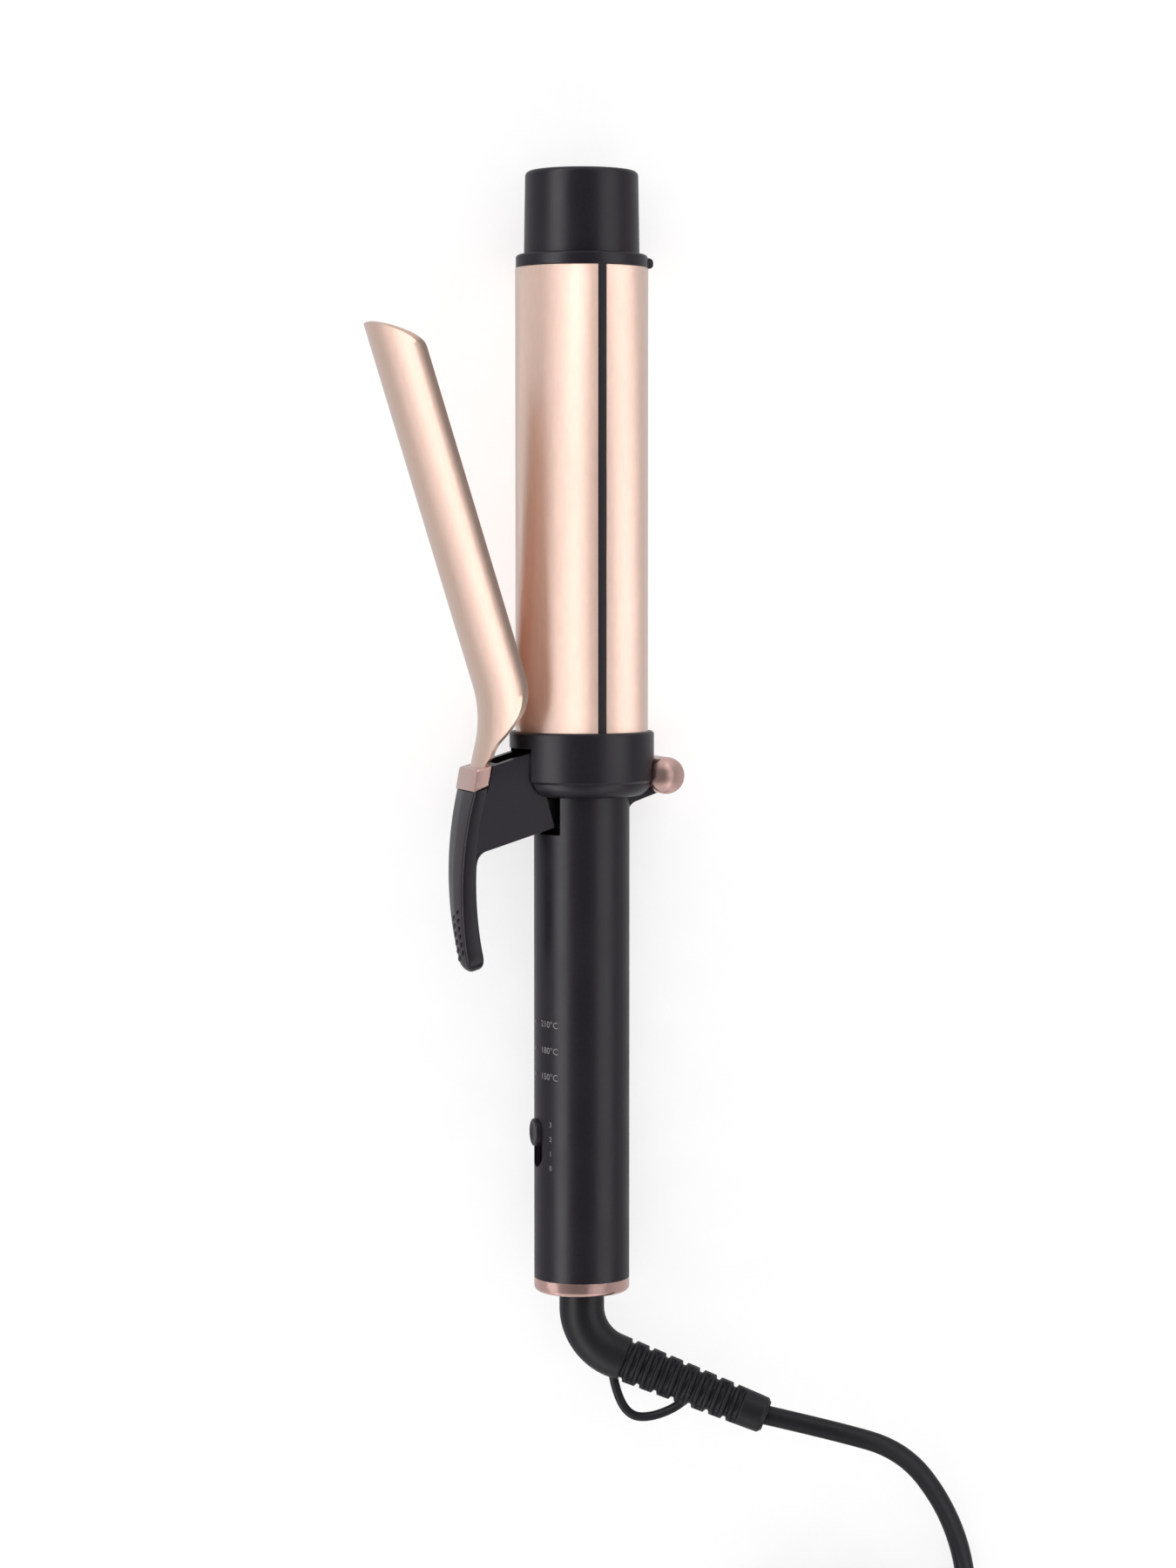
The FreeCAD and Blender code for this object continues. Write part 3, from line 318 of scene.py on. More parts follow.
def between(value, table):
    """Straight-line interpolation in a short list of (value, result) pairs."""
    for (low, first), (high, last) in zip(table, table[1:]):
        if value <= high:
            return first + (last - first) * max(0, (value - low) / (high - low))
    return table[-1][1]


# --- cord ----------------------------------------------------------------------------------

CORD_RADIUS, STRAP_THICKNESS = 2.85, 0.8
COIL_CENTRE = Vector((76, -294))
COIL_RADIUS, COIL_PITCH, COIL_TURNS = 31, 5.7, 8.25
COIL_RADII = [COIL_RADIUS - COIL_PITCH, COIL_RADIUS, COIL_RADIUS + COIL_PITCH]
COIL_LOW = STRAP_THICKNESS + CORD_RADIUS
LEAD_ROUTE = [(51.3, -196.7, 27.95), (72.5, -201.3, 29.2), (93, -208, 25.5), (106, -226, 17.5),
              (113.2, -247, 8), (113.5, -267, 3.75), (112.8, -284, 3.65)]
TAIL_ROUTE = [(70, -325, 15), (52, -325.8, 14.6), (36, -324.2, 10), (21, -325, 6.85)]
TURN_POINTS = 16


def coil_route():
    """The coil's turns, clockwise from its right side: in, out and in again through three layers."""
    inner, middle, outer = COIL_RADII
    low, raised, high = [COIL_LOW + COIL_PITCH * layer for layer in range(3)]
    turns = [(outer, low), (middle, low), (inner, low), (inner, raised), (middle, raised), (outer, raised),
             (outer, high), (middle, high)]
    last = len(turns) - 1
    points = []
    for step in range(1, int(TURN_POINTS * COIL_TURNS)):
        whole = step / TURN_POINTS
        index = min(int(whole), last)
        share = whole - index
        here, after = turns[index], turns[min(index + 1, last)]
        blend = smoothstep((share - 0.6) / 0.4)
        radius = here[0] + (after[0] - here[0]) * blend
        height = here[1] + (after[1] - here[1]) * blend
        angle = -2 * math.pi * whole
        points.append((COIL_CENTRE.x + radius * math.cos(angle), COIL_CENTRE.y + radius * math.sin(angle),
                       height))
    return points


def cord_curve(name, points, radius, place):
    """A round strand along a smooth curve whose control points are given in the frame of place."""
    data = bpy.data.curves.new(name, "CURVE")
    data.dimensions = "3D"
    data.bevel_depth = radius / 1000
    data.bevel_resolution = 6
    data.resolution_u = 8
    data.use_fill_caps = True
    spline = data.splines.new("NURBS")
    spline.points.add(len(points) - 1)
    for point, route in zip(spline.points, points):
        point.co = (*(place @ Vector(route)), 1)
    spline.order_u = 3
    spline.use_endpoint_u = True
    thing = bpy.data.objects.new(name, data)
    bpy.context.scene.collection.objects.link(thing)
    data.materials.append(MATERIALS["black_rubber"])
    return thing


cord = cord_curve("mains_cord", LEAD_ROUTE + coil_route() + TAIL_ROUTE, CORD_RADIUS, TABLE)
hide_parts("cord_lead", "cord_coil", "cord_tail")
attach(cord, "cord_swivel")


# --- camera, floor and lights --------------------------------------------------------------

SOFTBOX_LENGTH, SOFTBOX_DISTANCE, SOFTBOX_Y = 4.0, 1.0, 0.07
FLOOR_HALF, FLOOR_DROP = 20, 0.0003


def look():
    """The camera, above the iron's axis and leaning a little towards the tail."""
    camera = bpy.data.cameras.new("camera")
    camera.lens = 88.03
    camera.sensor_width = 36
    eye = bpy.data.objects.new("camera", camera)
    bpy.context.scene.collection.objects.link(eye)
    aside, along, height = 0.0018, 0.04947, 1.1
    lean = math.radians(3.37)
    eye.location = (AXIS_X + aside, COLLAR_Y + along, AXIS_Z + height)
    eye.rotation_euler = (-lean, 0, 0)
    bpy.context.scene.camera = eye


def softbox(name, turn, half_angle, radiance, group):
    """A long light beside the iron, at an angle from overhead, that lights only the pieces of a group."""
    width = 2 * SOFTBOX_DISTANCE * math.tan(math.radians(half_angle))
    data = bpy.data.lights.new(name, "AREA")
    data.shape = "RECTANGLE"
    data.size = SOFTBOX_LENGTH
    data.size_y = width
    data.energy = radiance * math.pi * SOFTBOX_LENGTH * width
    # Boxes that lie one behind another would hide each other with this on.
    data.cycles.use_multiple_importance_sampling = False
    thing = bpy.data.objects.new(name, data)
    bpy.context.scene.collection.objects.link(thing)
    angle = math.radians(turn)
    thing.location = (AXIS_X + SOFTBOX_DISTANCE * math.sin(angle), SOFTBOX_Y,
                      AXIS_Z + SOFTBOX_DISTANCE * math.cos(angle))
    thing.rotation_euler = (Matrix.Rotation(angle, 3, "Y") @ Matrix.Rotation(math.pi / 2, 3, "Z")).to_euler()
    thing.light_linking.receiver_collection = group


def even_light(name, strength, group):
    """A light from straight above that lights a group evenly; nothing else casts a shadow in it."""
    data = bpy.data.lights.new(name, "SUN")
    data.energy = strength
    data.angle = math.radians(60)
    thing = bpy.data.objects.new(name, data)
    bpy.context.scene.collection.objects.link(thing)
    thing.location = (AXIS_X, 0, 1)
    thing.light_linking.receiver_collection = group
    thing.light_linking.blocker_collection = group


def sky():
    """A studio tent: dark overhead, lighter towards the sides, and pale beyond the iron's two ends."""
    world = bpy.data.worlds.new("world")
    world.use_nodes = True
    nodes, links = world.node_tree.nodes, world.node_tree.links
    place = nodes.new("ShaderNodeTexCoord")
    split = nodes.new("ShaderNodeSeparateXYZ")
    links.new(place.outputs["Generated"], split.inputs["Vector"])
    turn = nodes.new("ShaderNodeMath")
    turn.operation = "ARCTAN2"
    links.new(split.outputs["X"], turn.inputs[0])
    links.new(split.outputs["Z"], turn.inputs[1])
    size = nodes.new("ShaderNodeMath")
    size.operation = "ABSOLUTE"
    links.new(turn.outputs[0], size.inputs[0])
    share = nodes.new("ShaderNodeMath")
    share.operation = "DIVIDE"
    share.inputs[1].default_value = math.pi
    links.new(size.outputs[0], share.inputs[0])
    ramp = nodes.new("ShaderNodeValToRGB")
    stops = ramp.color_ramp.elements
    stops[0].position = 0.12
    stops[0].color = (0.22, 0.22, 0.22, 1)
    stops[1].position = 0.8
    stops[1].color = (0.62, 0.62, 0.62, 1)
    middle = stops.new(0.5)
    middle.color = (0.5, 0.5, 0.5, 1)
    links.new(share.outputs[0], ramp.inputs["Fac"])
    end = nodes.new("ShaderNodeMath")
    end.operation = "ABSOLUTE"
    links.new(split.outputs["Y"], end.inputs[0])
    near_end = nodes.new("ShaderNodeMapRange")
    near_end.interpolation_type = "SMOOTHSTEP"
    near_end.inputs["From Min"].default_value = 0.45
    near_end.inputs["From Max"].default_value = 0.9
    links.new(end.outputs[0], near_end.inputs["Value"])
    mix = nodes.new("ShaderNodeMix")
    mix.data_type = "RGBA"
    mix.inputs["B"].default_value = (0.75, 0.75, 0.75, 1)
    links.new(near_end.outputs["Result"], mix.inputs["Factor"])
    links.new(ramp.outputs["Color"], mix.inputs["A"])
    links.new(mix.outputs["Result"], nodes["Background"].inputs["Color"])
    bpy.context.scene.world = world


def floor():
    """A wide pale floor that shows in no reflection and shades nothing."""
    mesh = bpy.data.meshes.new("floor")
    corners = [(x * FLOOR_HALF, y * FLOOR_HALF, 0) for x, y in ((-1, -1), (1, -1), (1, 1), (-1, 1))]
    mesh.from_pydata(corners, [], [(0, 1, 2, 3)])
    mesh.materials.append(MATERIALS["floor"])
    thing = bpy.data.objects.new("floor", mesh)
    bpy.context.scene.collection.objects.link(thing)
    thing.location.z = -FLOOR_DROP
    thing.visible_glossy = False
    thing.visible_shadow = False
    return thing


def lit(name, *finishes):
    """The pieces that carry the named finishes, as a group for a light."""
    group = bpy.data.collections.new(name)
    wanted = [MATERIALS[finish] for finish in finishes]
    for thing in bpy.context.scene.objects:
        if thing.type in ("MESH", "CURVE") and thing.data.materials[0] in wanted:
            group.objects.link(thing)
    return group


def studio():
    """The sky, the floor and the lights: for each box its angle, half width and brightness."""
    sky()
    floor()
    metal = lit("lit_metal", "barrel_coat")
    blades = lit("lit_blade", "blade_coat")
    plastic = lit("lit_plastic", "black_plastic", "black_rubber", "light_clear", "ink", "strap")
    trim = lit("lit_trim", "rose_metal", "plug_metal", "steel", "brass")
    ground = lit("lit_floor", "floor")
    softbox("metal_wide", -24, 50, 0.5, metal)
    softbox("metal_middle", -18, 30, 0.5, metal)
    softbox("metal_core", -12, 14, 0.55, metal)
    softbox("metal_left", -115, 30, 0.22, metal)
    softbox("blade_wide", -52, 46, 0.5, blades)
    softbox("blade_core", -54, 18, 0.95, blades)
    softbox("metal_right_wide", 80, 36, 0.55, metal)
    softbox("metal_right", 80, 18, 0.6, metal)
    softbox("plastic_left", -50, 15, 3.6, plastic)
    softbox("plastic_right", 57, 19, 1.7, plastic)
    softbox("trim_left", -75, 14, 0.6, trim)
    softbox("trim_top", 38, 20, 0.4, trim)
    even_light("floor_light", 2.4, ground)
    bpy.context.scene.view_settings.view_transform = "Standard"


look()


# --- barrel and tip ------------------------------------------------------------------------

BARREL_RADIUS, BARREL_WALL, BARREL_TOP, BARREL_SEAT = 19, 1.5, 132, 3


def barrel_shell(name, side):
    """Half of the barrel: side is -1 for the clamp's half."""
    gap = 1.25
    start = math.asin(gap / BARREL_RADIUS)
    steps = 64
    turns = [start + (math.pi - 2 * start) * step / steps for step in range(steps + 1)]
    inner = BARREL_RADIUS - BARREL_WALL
    lip = 0.25
    sections = []
    for along, cut in ((-BARREL_SEAT, 0), (BARREL_TOP - lip, 0), (BARREL_TOP, lip)):
        outer = BARREL_RADIUS - cut
        ring = [(outer, turn) for turn in turns] + [(inner, turn) for turn in reversed(turns)]
        sections.append([(side * radius * math.sin(turn), along, radius * math.cos(turn))
                         for radius, turn in ring])
    piece(name + "_shell_skin", *loft(sections), IRON, "barrel_coat", "iron", name, sharp=60)


barrel_shell("barrel_front_shell", -1)
barrel_shell("barrel_rear_shell", 1)


def tip():
    """The flange with its small nub, and the cap of the cool end."""
    bore, spigot, flange, flange_top = 15, 17.5, 18.8, 135.7
    ring = rounded([(bore, BARREL_TOP - 6, 0), (spigot, BARREL_TOP - 6, 0), (spigot, BARREL_TOP, 0),
                    (flange, BARREL_TOP, 0.25), (flange, flange_top, 0.9), (bore, flange_top, 0)])
    nub_reach, nub_low, nub_high = 20.2, BARREL_TOP + 0.05, 135.0
    nub = rounded([(16, nub_low, 0), (nub_reach, nub_low, 1.1), (nub_reach, nub_high, 1.3),
                   (16, nub_high, 0)])
    block = prism(nub, -4, 4)
    piece("tip_rim", *merged(lathed(ring), block), IRON, "black_plastic", "iron", "tip_ring", sharp=50)
    inside, wall_foot, cap_top = 12.6, 124, 159.4
    cap = rounded([(inside, wall_foot, 0), (bore, wall_foot, 0), (bore, flange_top, 0), (16.5, flange_top, 0),
                   (16.1, cap_top, 1.5), (0.02, cap_top, 0), (0.02, cap_top - 2.4, 0),
                   (inside, cap_top - 2.4, 0)], 10)
    piece("cool_tip_cap", *lathed(cap), IRON, "black_plastic", "iron", "cool_tip", sharp=50)


tip()


# --- stand bar and tail ring ---------------------------------------------------------------

STAND_OFFSET, STAND_Y, STAND_RADIUS, STAND_HALF = 22.4, -12.75, 5.3, 12.97


def stand():
    """The bar with its softly domed ends."""
    dome, dome_share, steps = 2.3, 0.93, 8
    half = [(0.01, STAND_HALF)]
    for step in range(1, steps + 1):
        share = step / steps
        half.append((STAND_RADIUS * dome_share * share, STAND_HALF - dome * share ** 2))
    half += [(STAND_RADIUS * 0.985, STAND_HALF - dome - 0.35), (STAND_RADIUS, STAND_HALF - dome - 0.9)]
    outline = half + [(radius, -along) for radius, along in reversed(half)]
    piece("stand_rest_bar", *lathed(outline, (STAND_OFFSET, STAND_Y, 0), "Z", 96), IRON, "rose_metal", "iron",
          "stand_bar", sharp=50)


stand()


HANDLE_RADIUS, HANDLE_END, TAIL_END = 13.75, -157.9, -161.9


def tail():
    bore = 10.5
    ring = rounded([(bore, HANDLE_END, 0), (bore, TAIL_END, 0), (HANDLE_RADIUS, TAIL_END, 1.5),
                    (HANDLE_RADIUS, HANDLE_END, 0.15)])
    piece("tail_trim", *lathed(ring), IRON, "rose_metal", "iron", "tail_ring", sharp=50)


tail()


# --- controls ------------------------------------------------------------------------------

LIGHT_Y, LIGHT_PITCH, SWITCH_Y = -83.3, 7.53, -115.4
MARK_HEIGHT, LEVEL_Y, LEVEL_HEIGHT, LEVEL_PITCH = 1.8, -112.55, 1.4, 4.17


def knob():
    """The dished oval button of the slide switch."""
    half_length, half_width, top, base = 4, 3.5, 14.85, 11.2
    columns = 48
    levels = [(0.02, -0.45), (0.3, -0.4), (0.6, -0.22), (0.8, -0.02), (0.9, 0), (0.97, -0.15), (1, -0.5),
              (1, base - top)]
    sections = []
    for size, height in levels:
        ring = []
        for column in range(columns):
            angle = 2 * math.pi * column / columns
            ring.append((-top - height, SWITCH_Y + half_length * size * math.cos(angle),
                         half_width * size * math.sin(angle)))
        sections.append(ring)
    piece("slider_button", *loft(sections), IRON, "black_plastic", "temperature_slider", "slider_knob",
          sharp=50)


knob()


def marking(words, along, turn, height, lean=0.0):
    """Words printed on the handle, wrapped round it at an angle from the near side."""
    capital_height = 0.69
    data = bpy.data.curves.new("mark", "FONT")
    data.body = words
    data.size = height / capital_height
    data.align_x = "CENTER"
    data.align_y = "CENTER"
    data.resolution_u = 3
    source = bpy.data.objects.new("mark", data)
    bpy.context.scene.collection.objects.link(source)
    bpy.context.view_layer.update()
    mesh = bpy.data.meshes.new_from_object(source)
    bpy.data.objects.remove(source)
    shell = bmesh.new()
    shell.from_mesh(mesh)
    bmesh.ops.triangulate(shell, faces=shell.faces)
    radius = HANDLE_RADIUS + 0.02
    vertices = []
    for vertex in shell.verts:
        angle = turn + vertex.co.x / HANDLE_RADIUS
        vertices.append((radius * math.sin(angle), along + vertex.co.y + lean * vertex.co.x,
                         radius * math.cos(angle)))
    faces = [tuple(vertex.index for vertex in face.verts) for face in shell.faces]
    shell.free()
    return vertices, faces


def printed():
    """Generic marks: a temperature beside each light, and the switch's four levels."""
    marks = []
    for index, words in enumerate(("210°C", "180°C", "150°C")):
        along = LIGHT_Y - 0.45 - LIGHT_PITCH * index
        marks.append(marking(words, along, math.radians(-61.5), MARK_HEIGHT, -0.05))
    for index, words in enumerate("3210"):
        marks.append(marking(words, LEVEL_Y - LEVEL_PITCH * index, math.radians(-58.5), LEVEL_HEIGHT))
    piece("printed_marks", *merged(*marks), IRON, "ink", "iron", flat=True)


printed()


# --- clamp ---------------------------------------------------------------------------------

BLADE_INNER, BLADE_THICKNESS = 19.3, 1
BLADE_END, BLADE_HALF, BLADE_TIP = 146.5, 16.6, 11
BEND_START, BEND_RADIUS, BEND_ANGLE = 39, 31, math.radians(30)
BEND_CENTRE = BLADE_INNER + BLADE_THICKNESS + BEND_RADIUS


def blade_half(height):
    """Half the blade's width at a height above the pivot."""
    full_height = 38.5
    narrow = [(1, 5), (13.5, 5), (14.5, 7.2), (18.2, 7.2), (19.4, 8.5), (20.7, 8.6), (22.6, 9.6), (23.9, 11),
              (25.4, 12.4), (27.5, 14.1), (29.7, 15.3), (32.3, 16), (35, 16.4), (full_height, BLADE_HALF)]
    if height < full_height:
        return between(height, narrow)
    over = (height - (BLADE_END - BLADE_TIP)) / BLADE_TIP
    return BLADE_HALF * math.sqrt(max(0, 1 - over * over)) if over > 0 else BLADE_HALF


def blade_point(run, across, radius):
    """A point of the bent strip: run is along it from the start of the bend, across is z."""
    depth = BEND_CENTRE - math.sqrt(radius ** 2 - across ** 2)
    if run >= 0:
        return BEND_CENTRE - depth, BEND_START + run
    turn = min(BEND_ANGLE, -run / BEND_RADIUS)
    rest = max(0, -run - BEND_ANGLE * BEND_RADIUS)
    x = BEND_CENTRE - depth * math.cos(turn) + rest * math.sin(turn)
    y = BEND_START - depth * math.sin(turn) - rest * math.cos(turn)
    return x, y


def blade():
    """The bent strip, narrow where it's riveted and round at its far end."""
    columns = 28
    length = BLADE_END - BEND_START
    tips = [length - BLADE_TIP * (1 - math.sin(math.pi / 2 * step / 20)) for step in range(20)]
    foot = [step - 38 for step in range(38)]
    runs = foot + [8 * step for step in range(12)] + tips + [length - 0.004]
    sections = []
    for run in runs:
        ring = []
        for radius, order in ((BLADE_INNER + BLADE_THICKNESS, 1), (BLADE_INNER, -1)):
            for column in range(columns + 1)[::order]:
                share = 2 * column / columns - 1
                # The width depends on the height, which the crown makes depend on the width.
                across = 0.0
                for _ in range(4):
                    across = share * blade_half(blade_point(run, across, radius)[1])
                ring.append((*blade_point(run, across, radius), across))
        sections.append(ring)
    piece("clamp_blade_skin", *loft(sections), CLAMP, "blade_coat", "clamp", "clamp_blade", sharp=40)


blade()


LEVER_OUTER = ((32, 11.7), (47.2, -33.4), 108)
LEVER_INNER = ((27.3, 12.05), (42.2, -35.8), 102)
LEVER_TOP, LEVER_END, LEVER_TIP = 11.75, -33.6, 4.6
WEB_LOW, WEB_HALF = -5.5, 6.1


def bow_at(height, ends):
    """The x of an arc between two points that bulges outwards, at a height."""
    start, last, radius = Vector(ends[0]), Vector(ends[1]), ends[2]
    way = last - start
    out = Vector((-way.y, way.x)).normalized()
    if out.x < 0:
        out = -out
    centre = (start + last) / 2 - out * math.sqrt(radius ** 2 - (way.length / 2) ** 2)
    return centre.x + math.sqrt(max(0, radius ** 2 - (height - centre.y) ** 2))


def lever_half(height):
    """Half the lever's width at a height above the pivot, with a round tip below its end."""
    table = [(LEVER_END, LEVER_TIP), (-24, 5.9), (-12, 7.1), (13, 9.4), (18, 9.4)]
    if height < LEVER_END:
        return math.sqrt(max(0.001, LEVER_TIP ** 2 - (height - LEVER_END) ** 2))
    return between(height, table)


def lever_bar():
    """The thumb lever: level sections with rounded corners down its bowed length."""
    sections = []
    heights = [LEVER_TOP - (LEVER_TOP + 33) * step / 36 for step in range(37)]
    heights += [LEVER_END - LEVER_TIP * math.sin(math.pi / 2 * step / 12) for step in range(1, 13)]
    for height in heights:
        low = max(0, (-34.5 - height) / 3.7)
        thinning = 1 - math.sqrt(max(0, 1 - low ** 2))
        outer = bow_at(height, LEVER_OUTER) - 2.2 * thinning
        inner = bow_at(height, LEVER_INNER) + 1.2 * thinning
        half = max(0.4, lever_half(height))
        soft = min(1.1, half * 0.6)
        crown = 0.5 * min(1, half / 6)
        corners = [(inner, -half, min(soft, 0.8)), (outer, -half, soft), (outer + crown, 0, 3),
                   (outer, half, soft), (inner, half, min(soft, 0.8))]
        sections.append([(x, height, z) for x, z in rounded(corners, 5)])
    return loft(sections)


def slice_loft(levels):
    """A solid of level rectangles: (height, x low, x high, z low, z high)."""
    sections = []
    for height, low, high, near, far in levels:
        sections.append([(low, height, near), (high, height, near), (high, height, far), (low, height, far)])
    return loft(sections)


def lever_web():
    """Two cheeks that hold the hinge pin, the wall between them and the floor below."""
    edge = [(WEB_LOW, 36.2), (0, 34.6), (5, 31), (10.8, 28.2), (17.2, 24.6), (17.5, 24.4)]
    heights = [WEB_LOW + 0.02, WEB_LOW + 0.5, -3, 0, 3, 6, 8.5, 10.8, 13, 15, 16.6, 17.2]
    solids = []
    for side in (-1, 1):
        levels = []
        for height in heights:
            inner, outer = WEB_HALF * side, (lever_half(height) - 0.05) * side
            low = 12 if height < 16.8 else 13.5
            high = between(height, edge) if height > 10.5 else bow_at(height, LEVER_OUTER) - 1.6
            levels.append((height, low, high, min(inner, outer), max(inner, outer)))
        solids.append(slice_loft(levels))
    hollow = [(-4.3, 33.5), (3, 30), (12, 24.5), (17.2, 22.6)]
    wall = [(height, between(height, hollow), between(height, edge), -WEB_HALF - 0.1, WEB_HALF + 0.1)
            for height in heights if height > -4]
    solids.append(slice_loft(wall))
    solids.append(slice_loft([(WEB_LOW + 0.02, 17.2, 35, -WEB_HALF - 0.1, WEB_HALF + 0.1),
                              (-4.3, 17.2, 35, -WEB_HALF - 0.1, WEB_HALF + 0.1)]))
    return merged(*solids)


def corner_fillet():
    """The soft corner where the web's lower edge runs into the lever."""
    radius = 3
    corner = Vector((bow_at(WEB_LOW, LEVER_INNER), WEB_LOW + 0.03))
    foot = Vector((bow_at(WEB_LOW - radius, LEVER_INNER) + 0.15, WEB_LOW - radius))
    end = Vector((corner.x - radius, corner.y))
    arc = []
    for step in range(9):
        share = step / 8
        arc.append(foot * (1 - share) ** 2 + corner * 2 * share * (1 - share) + end * share ** 2)
    outline = [(foot.x + 1, foot.y), *arc, (end.x, end.y + 0.4), (corner.x + 1.5, corner.y + 0.4)]
    half = lever_half(WEB_LOW) - 0.3
    return prism(outline, -half, half)


def grip_ridges():
    """Two staggered columns of small slanting ridges near the lever's end."""
    ridges = []
    rows, pitch, long_half, short_half = 6, 2.3, 1.7, 0.5
    for across, first in ((-1.9, -22.2), (1.7, -20.6)):
        for row in range(rows):
            height = first - row * pitch
            base = bow_at(height, LEVER_OUTER) + 0.2
            ring = []
            for step in range(12):
                angle = 2 * math.pi * step / 12
                along, wide = long_half * math.cos(angle), short_half * math.sin(angle)
                ring.append((along * 0.8 - wide * 0.6, along * 0.6 + wide * 0.8))
            sections = []
            for size, lift in ((1, -0.5), (1, 0.2), (0.6, 0.42), (0.05, 0.46)):
                sections.append([(base + lift, height + y * size, across + z * size) for z, y in ring])
            ridges.append(loft(sections))
    return merged(*ridges)


def lever():
    piece("thumb_lever", *merged(lever_bar(), lever_web(), corner_fillet(), grip_ridges()), CLAMP,
          "black_plastic", "clamp", "clamp_lever", sharp=38)


lever()


def ferrule():
    """The plated block round the blade's foot, with bevelled edges."""
    outline = [(32.3, 11.8), (29.3, 17.6), (24.7, 17.4), (27.5, 12.15)]
    solid = prism(outline, -9.6, 9.6)
    piece("clamp_ferrule_block", *solid, CLAMP, "rose_metal", "clamp", "clamp_ferrule", bevel=0.75, sharp=30)


ferrule()


# --- strain relief and hanging loop --------------------------------------------------------

RELIEF_TOP, RELIEF_STUB, ELBOW_RADIUS, ELBOW_ANGLE = -162.2, 4.7, 15, math.radians(69.5)
SLEEVE_LENGTH = 46.9
LOOP_ROUTE = [(8.6, -182.8), (9.4, -190), (13.4, -198.4), (20.2, -198.9), (29.6, -194.6), (34, -189.2)]


def relief_place(run):
    """Centre and direction of the boot's axis, in the swivel's plane, after a run from its top."""
    if run < RELIEF_STUB:
        return Vector((0, RELIEF_TOP - run, 0)), Vector((0, -1, 0))
    turn = min(ELBOW_ANGLE, (run - RELIEF_STUB) / ELBOW_RADIUS)
    rest = max(0, run - RELIEF_STUB - ELBOW_ANGLE * ELBOW_RADIUS)
    way = Vector((math.sin(turn), -math.cos(turn), 0))
    centre = Vector((ELBOW_RADIUS * (1 - math.cos(turn)),
                     RELIEF_TOP - RELIEF_STUB - ELBOW_RADIUS * math.sin(turn), 0))
    return centre + way * rest, way


def relief():
    """The moulded boot: smooth elbow, ribbed sleeve, and a cup that the cord comes out of."""
    elbow = RELIEF_STUB + ELBOW_ANGLE * ELBOW_RADIUS
    total = elbow + SLEEVE_LENGTH
    first_groove, pitch, grooves, columns = elbow + 3.8, 5.3, 7, 72
    groove_depth, slot_depth, rows = 1.0, 1.1, 300
    runs = [total * step / rows for step in range(rows + 1)]
    sections = []
    for run in runs:
        centre, way = relief_place(run)
        beside = Vector((-way.y, way.x, 0))
        radius = between(run, [(0, 6.5), (elbow, 6.45), (total - 4, 5.35), (total, 5.2)])
        ring = []
        for column in range(columns):
            angle = 2 * math.pi * column / columns
            depth = 0.0
            for groove in range(grooves):
                place = first_groove + pitch * groove
                wall = smoothstep(1.6 - abs(run - place) / 0.55)
                depth = max(depth, groove_depth * wall)
                slot = smoothstep(1.6 - abs(run - place - pitch * 0.5) / 0.75)
                upper = smoothstep((math.sin(angle) - 0.25) / 0.12)
                depth = max(depth, slot_depth * slot * upper)
            if run > total - 3:
                depth = 0.0
            reach = radius - depth - 0.9 * smoothstep((run - total + 1.2) / 1.2)
            ring.append(centre + beside * (reach * math.cos(angle))
                        + Vector((0, 0, reach * math.sin(angle))))
        sections.append(ring)
    centre, way = relief_place(total)
    beside = Vector((-way.y, way.x, 0))
    for reach, back in ((3.9, 0.1), (3.5, 0.7), (3.4, 3.5), (2.6, 4)):
        ring = []
        for column in range(columns):
            angle = 2 * math.pi * column / columns
            ring.append(centre - way * back + beside * (reach * math.cos(angle))
                        + Vector((0, 0, reach * math.sin(angle))))
        sections.append(ring)
    piece("strain_relief_boot", *loft(sections), SWIVEL, "black_rubber", "cord_swivel", "strain_relief",
          sharp=60)


relief()


def hang_loop():
    """The moulded hanging loop: a bent strand, turned into a mesh."""
    loop = cord_curve("hang_loop_strand", [(x, y, 0) for x, y in LOOP_ROUTE], 1.3, SWIVEL)
    bpy.context.view_layer.update()
    mesh = bpy.data.meshes.new_from_object(loop)
    bpy.data.objects.remove(loop)
    thing = bpy.data.objects.new("hang_loop_strand", mesh)
    bpy.context.scene.collection.objects.link(thing)
    for polygon in mesh.polygons:
        polygon.use_smooth = True
    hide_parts("hang_loop")
    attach(thing, "cord_swivel")


hang_loop()


# --- strap and plug ------------------------------------------------------------------------

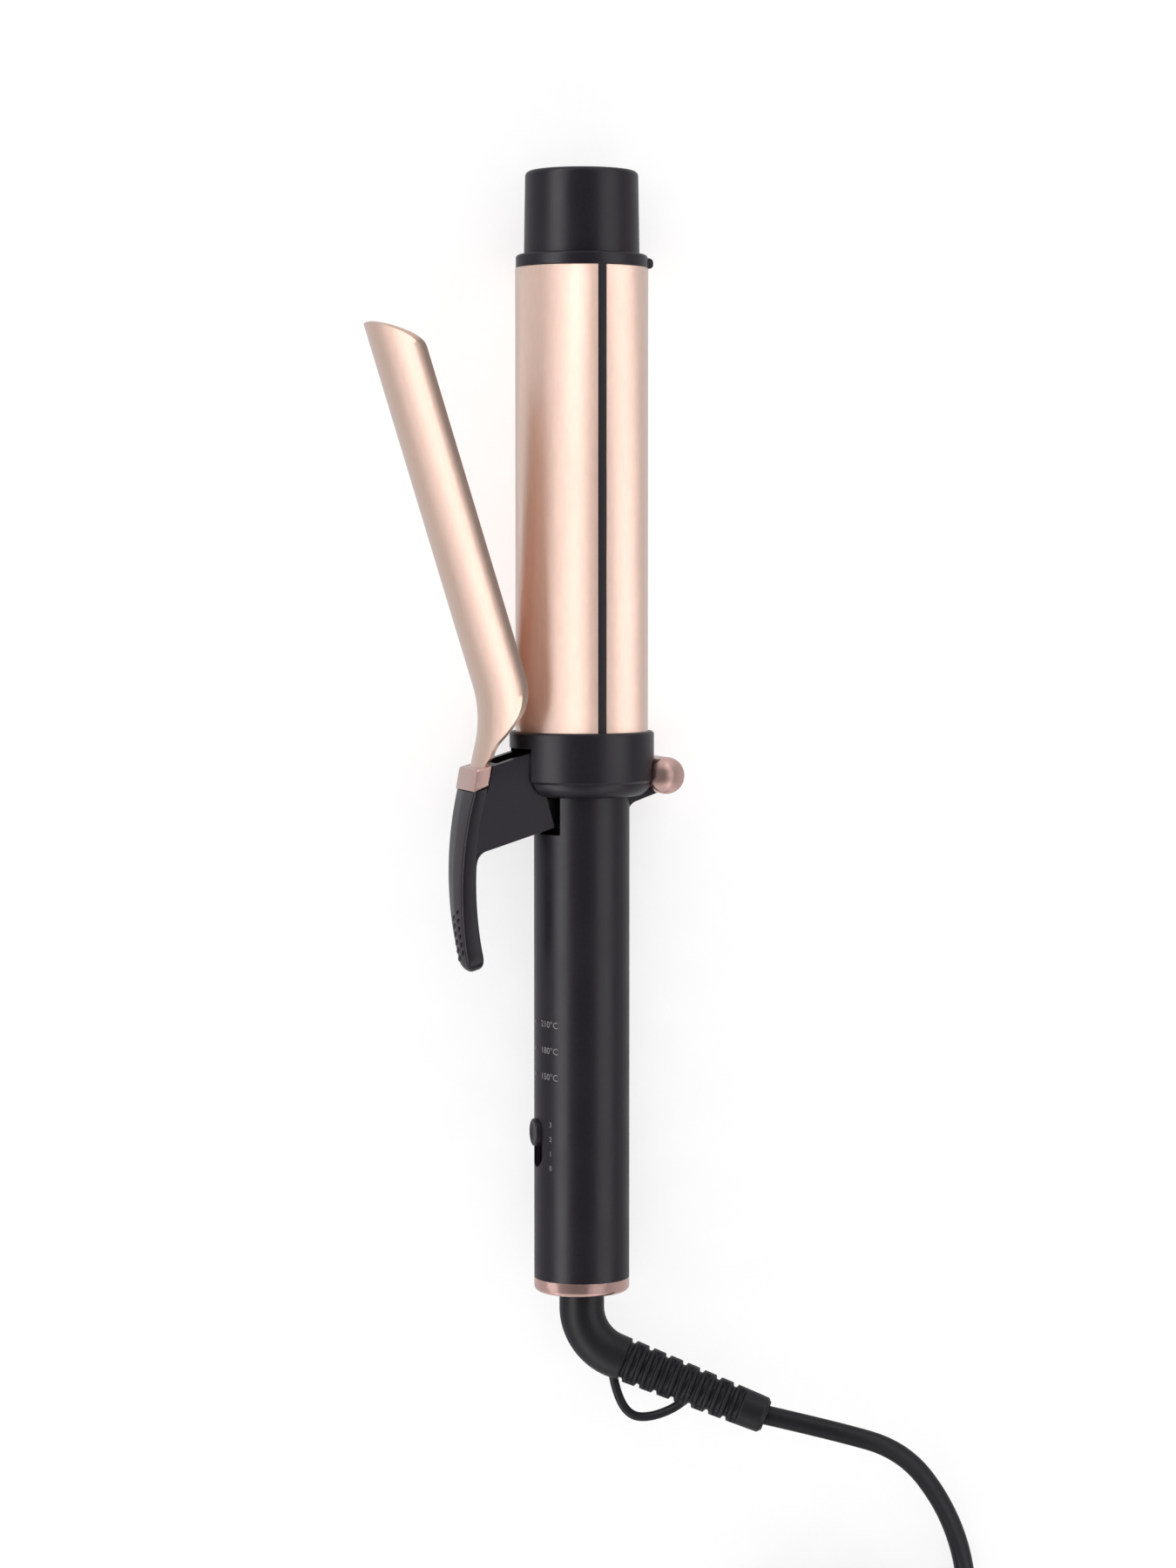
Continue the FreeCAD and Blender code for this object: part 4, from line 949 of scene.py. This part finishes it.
def strap():
    """The strap round the coil's left side: a closed band with rounded corners."""
    near = COIL_CENTRE.x - COIL_RADII[2] - CORD_RADIUS
    far = COIL_CENTRE.x - COIL_RADII[0] + CORD_RADIUS + 0.6
    high = STRAP_THICKNESS + COIL_PITCH * 3
    left, right, top = near - STRAP_THICKNESS, far + STRAP_THICKNESS, high + STRAP_THICKNESS
    outer = rounded([(x, z, 2.5) for x, z in ((left, 0), (right, 0), (right, top), (left, top))])
    inner = rounded([(x, z, 1.9) for x, z in ((near, STRAP_THICKNESS), (far, STRAP_THICKNESS),
                                              (far, high), (near, high))])
    half = 4.5
    middle = COIL_CENTRE.y
    ring = []
    for edge in (-half, half):
        ring.append([(x, middle + edge, z) for x, z in outer])
    ring.append([(x, middle + half, z) for x, z in inner])
    ring.append([(x, middle - half, z) for x, z in inner])
    piece("coil_strap", *loft(ring, closed=True), TABLE, "strap", "cord_swivel", "cord_tie", sharp=40)


strap()

PLUG_LENGTH, PLUG_WIDTH, PLUG_HEIGHT = 36, 35.3, 13.7
PRONG_RADIUS, PRONG_LENGTH, PRONG_SPACING = 2, 19, 18.6


def plug():
    """The two-pin plug, flat and waisted towards the cord."""
    back, middle, _ = TAIL_ROUTE[-1]
    front = back - PLUG_LENGTH
    half = PLUG_WIDTH / 2
    lift = PLUG_HEIGHT / 2
    stations = [(front, 0.93, 0.93), (front + 0.7, 1, 1), (front + 12, 0.95, 1), (front + 20, 0.78, 0.98),
                (front + 26, 0.5, 0.95), (front + 30, 0.4, 0.92), (back - 3, 0.36, 0.85), (back, 0.3, 0.72)]
    sections = []
    for x, wide, tall in stations:
        across, up = half * wide, lift * tall
        soft = min(up * 0.8, 5)
        corners = [(-across, -up), (across, -up), (across, up), (-across, up)]
        outline = rounded([(y, z, soft) for y, z in corners], 8)
        sections.append([(x, middle + y, lift + z) for y, z in outline])
    body = piece("plug_shell", *loft(sections), TABLE, "black_rubber", "cord_swivel", "plug_body", sharp=50)
    pins = []
    for side in (-1, 1):
        outline = [(0.01, 0), (PRONG_RADIUS, 0), (PRONG_RADIUS, PRONG_LENGTH - 1.6),
                   (PRONG_RADIUS * 0.9, PRONG_LENGTH - 0.7), (PRONG_RADIUS * 0.55, PRONG_LENGTH - 0.1),
                   (0.01, PRONG_LENGTH)]
        vertices, faces = lathed(outline, segments=32)
        turned = [(front - y, middle + side * PRONG_SPACING / 2 + x, lift + z) for x, y, z in vertices]
        pins.append((turned, faces))
    prongs = piece("plug_prongs", *merged(*pins), TABLE, "plug_metal", "cord_swivel", "plug_pins", sharp=40)
    return body, prongs


plug_shell, plug_prongs = plug()

studio()
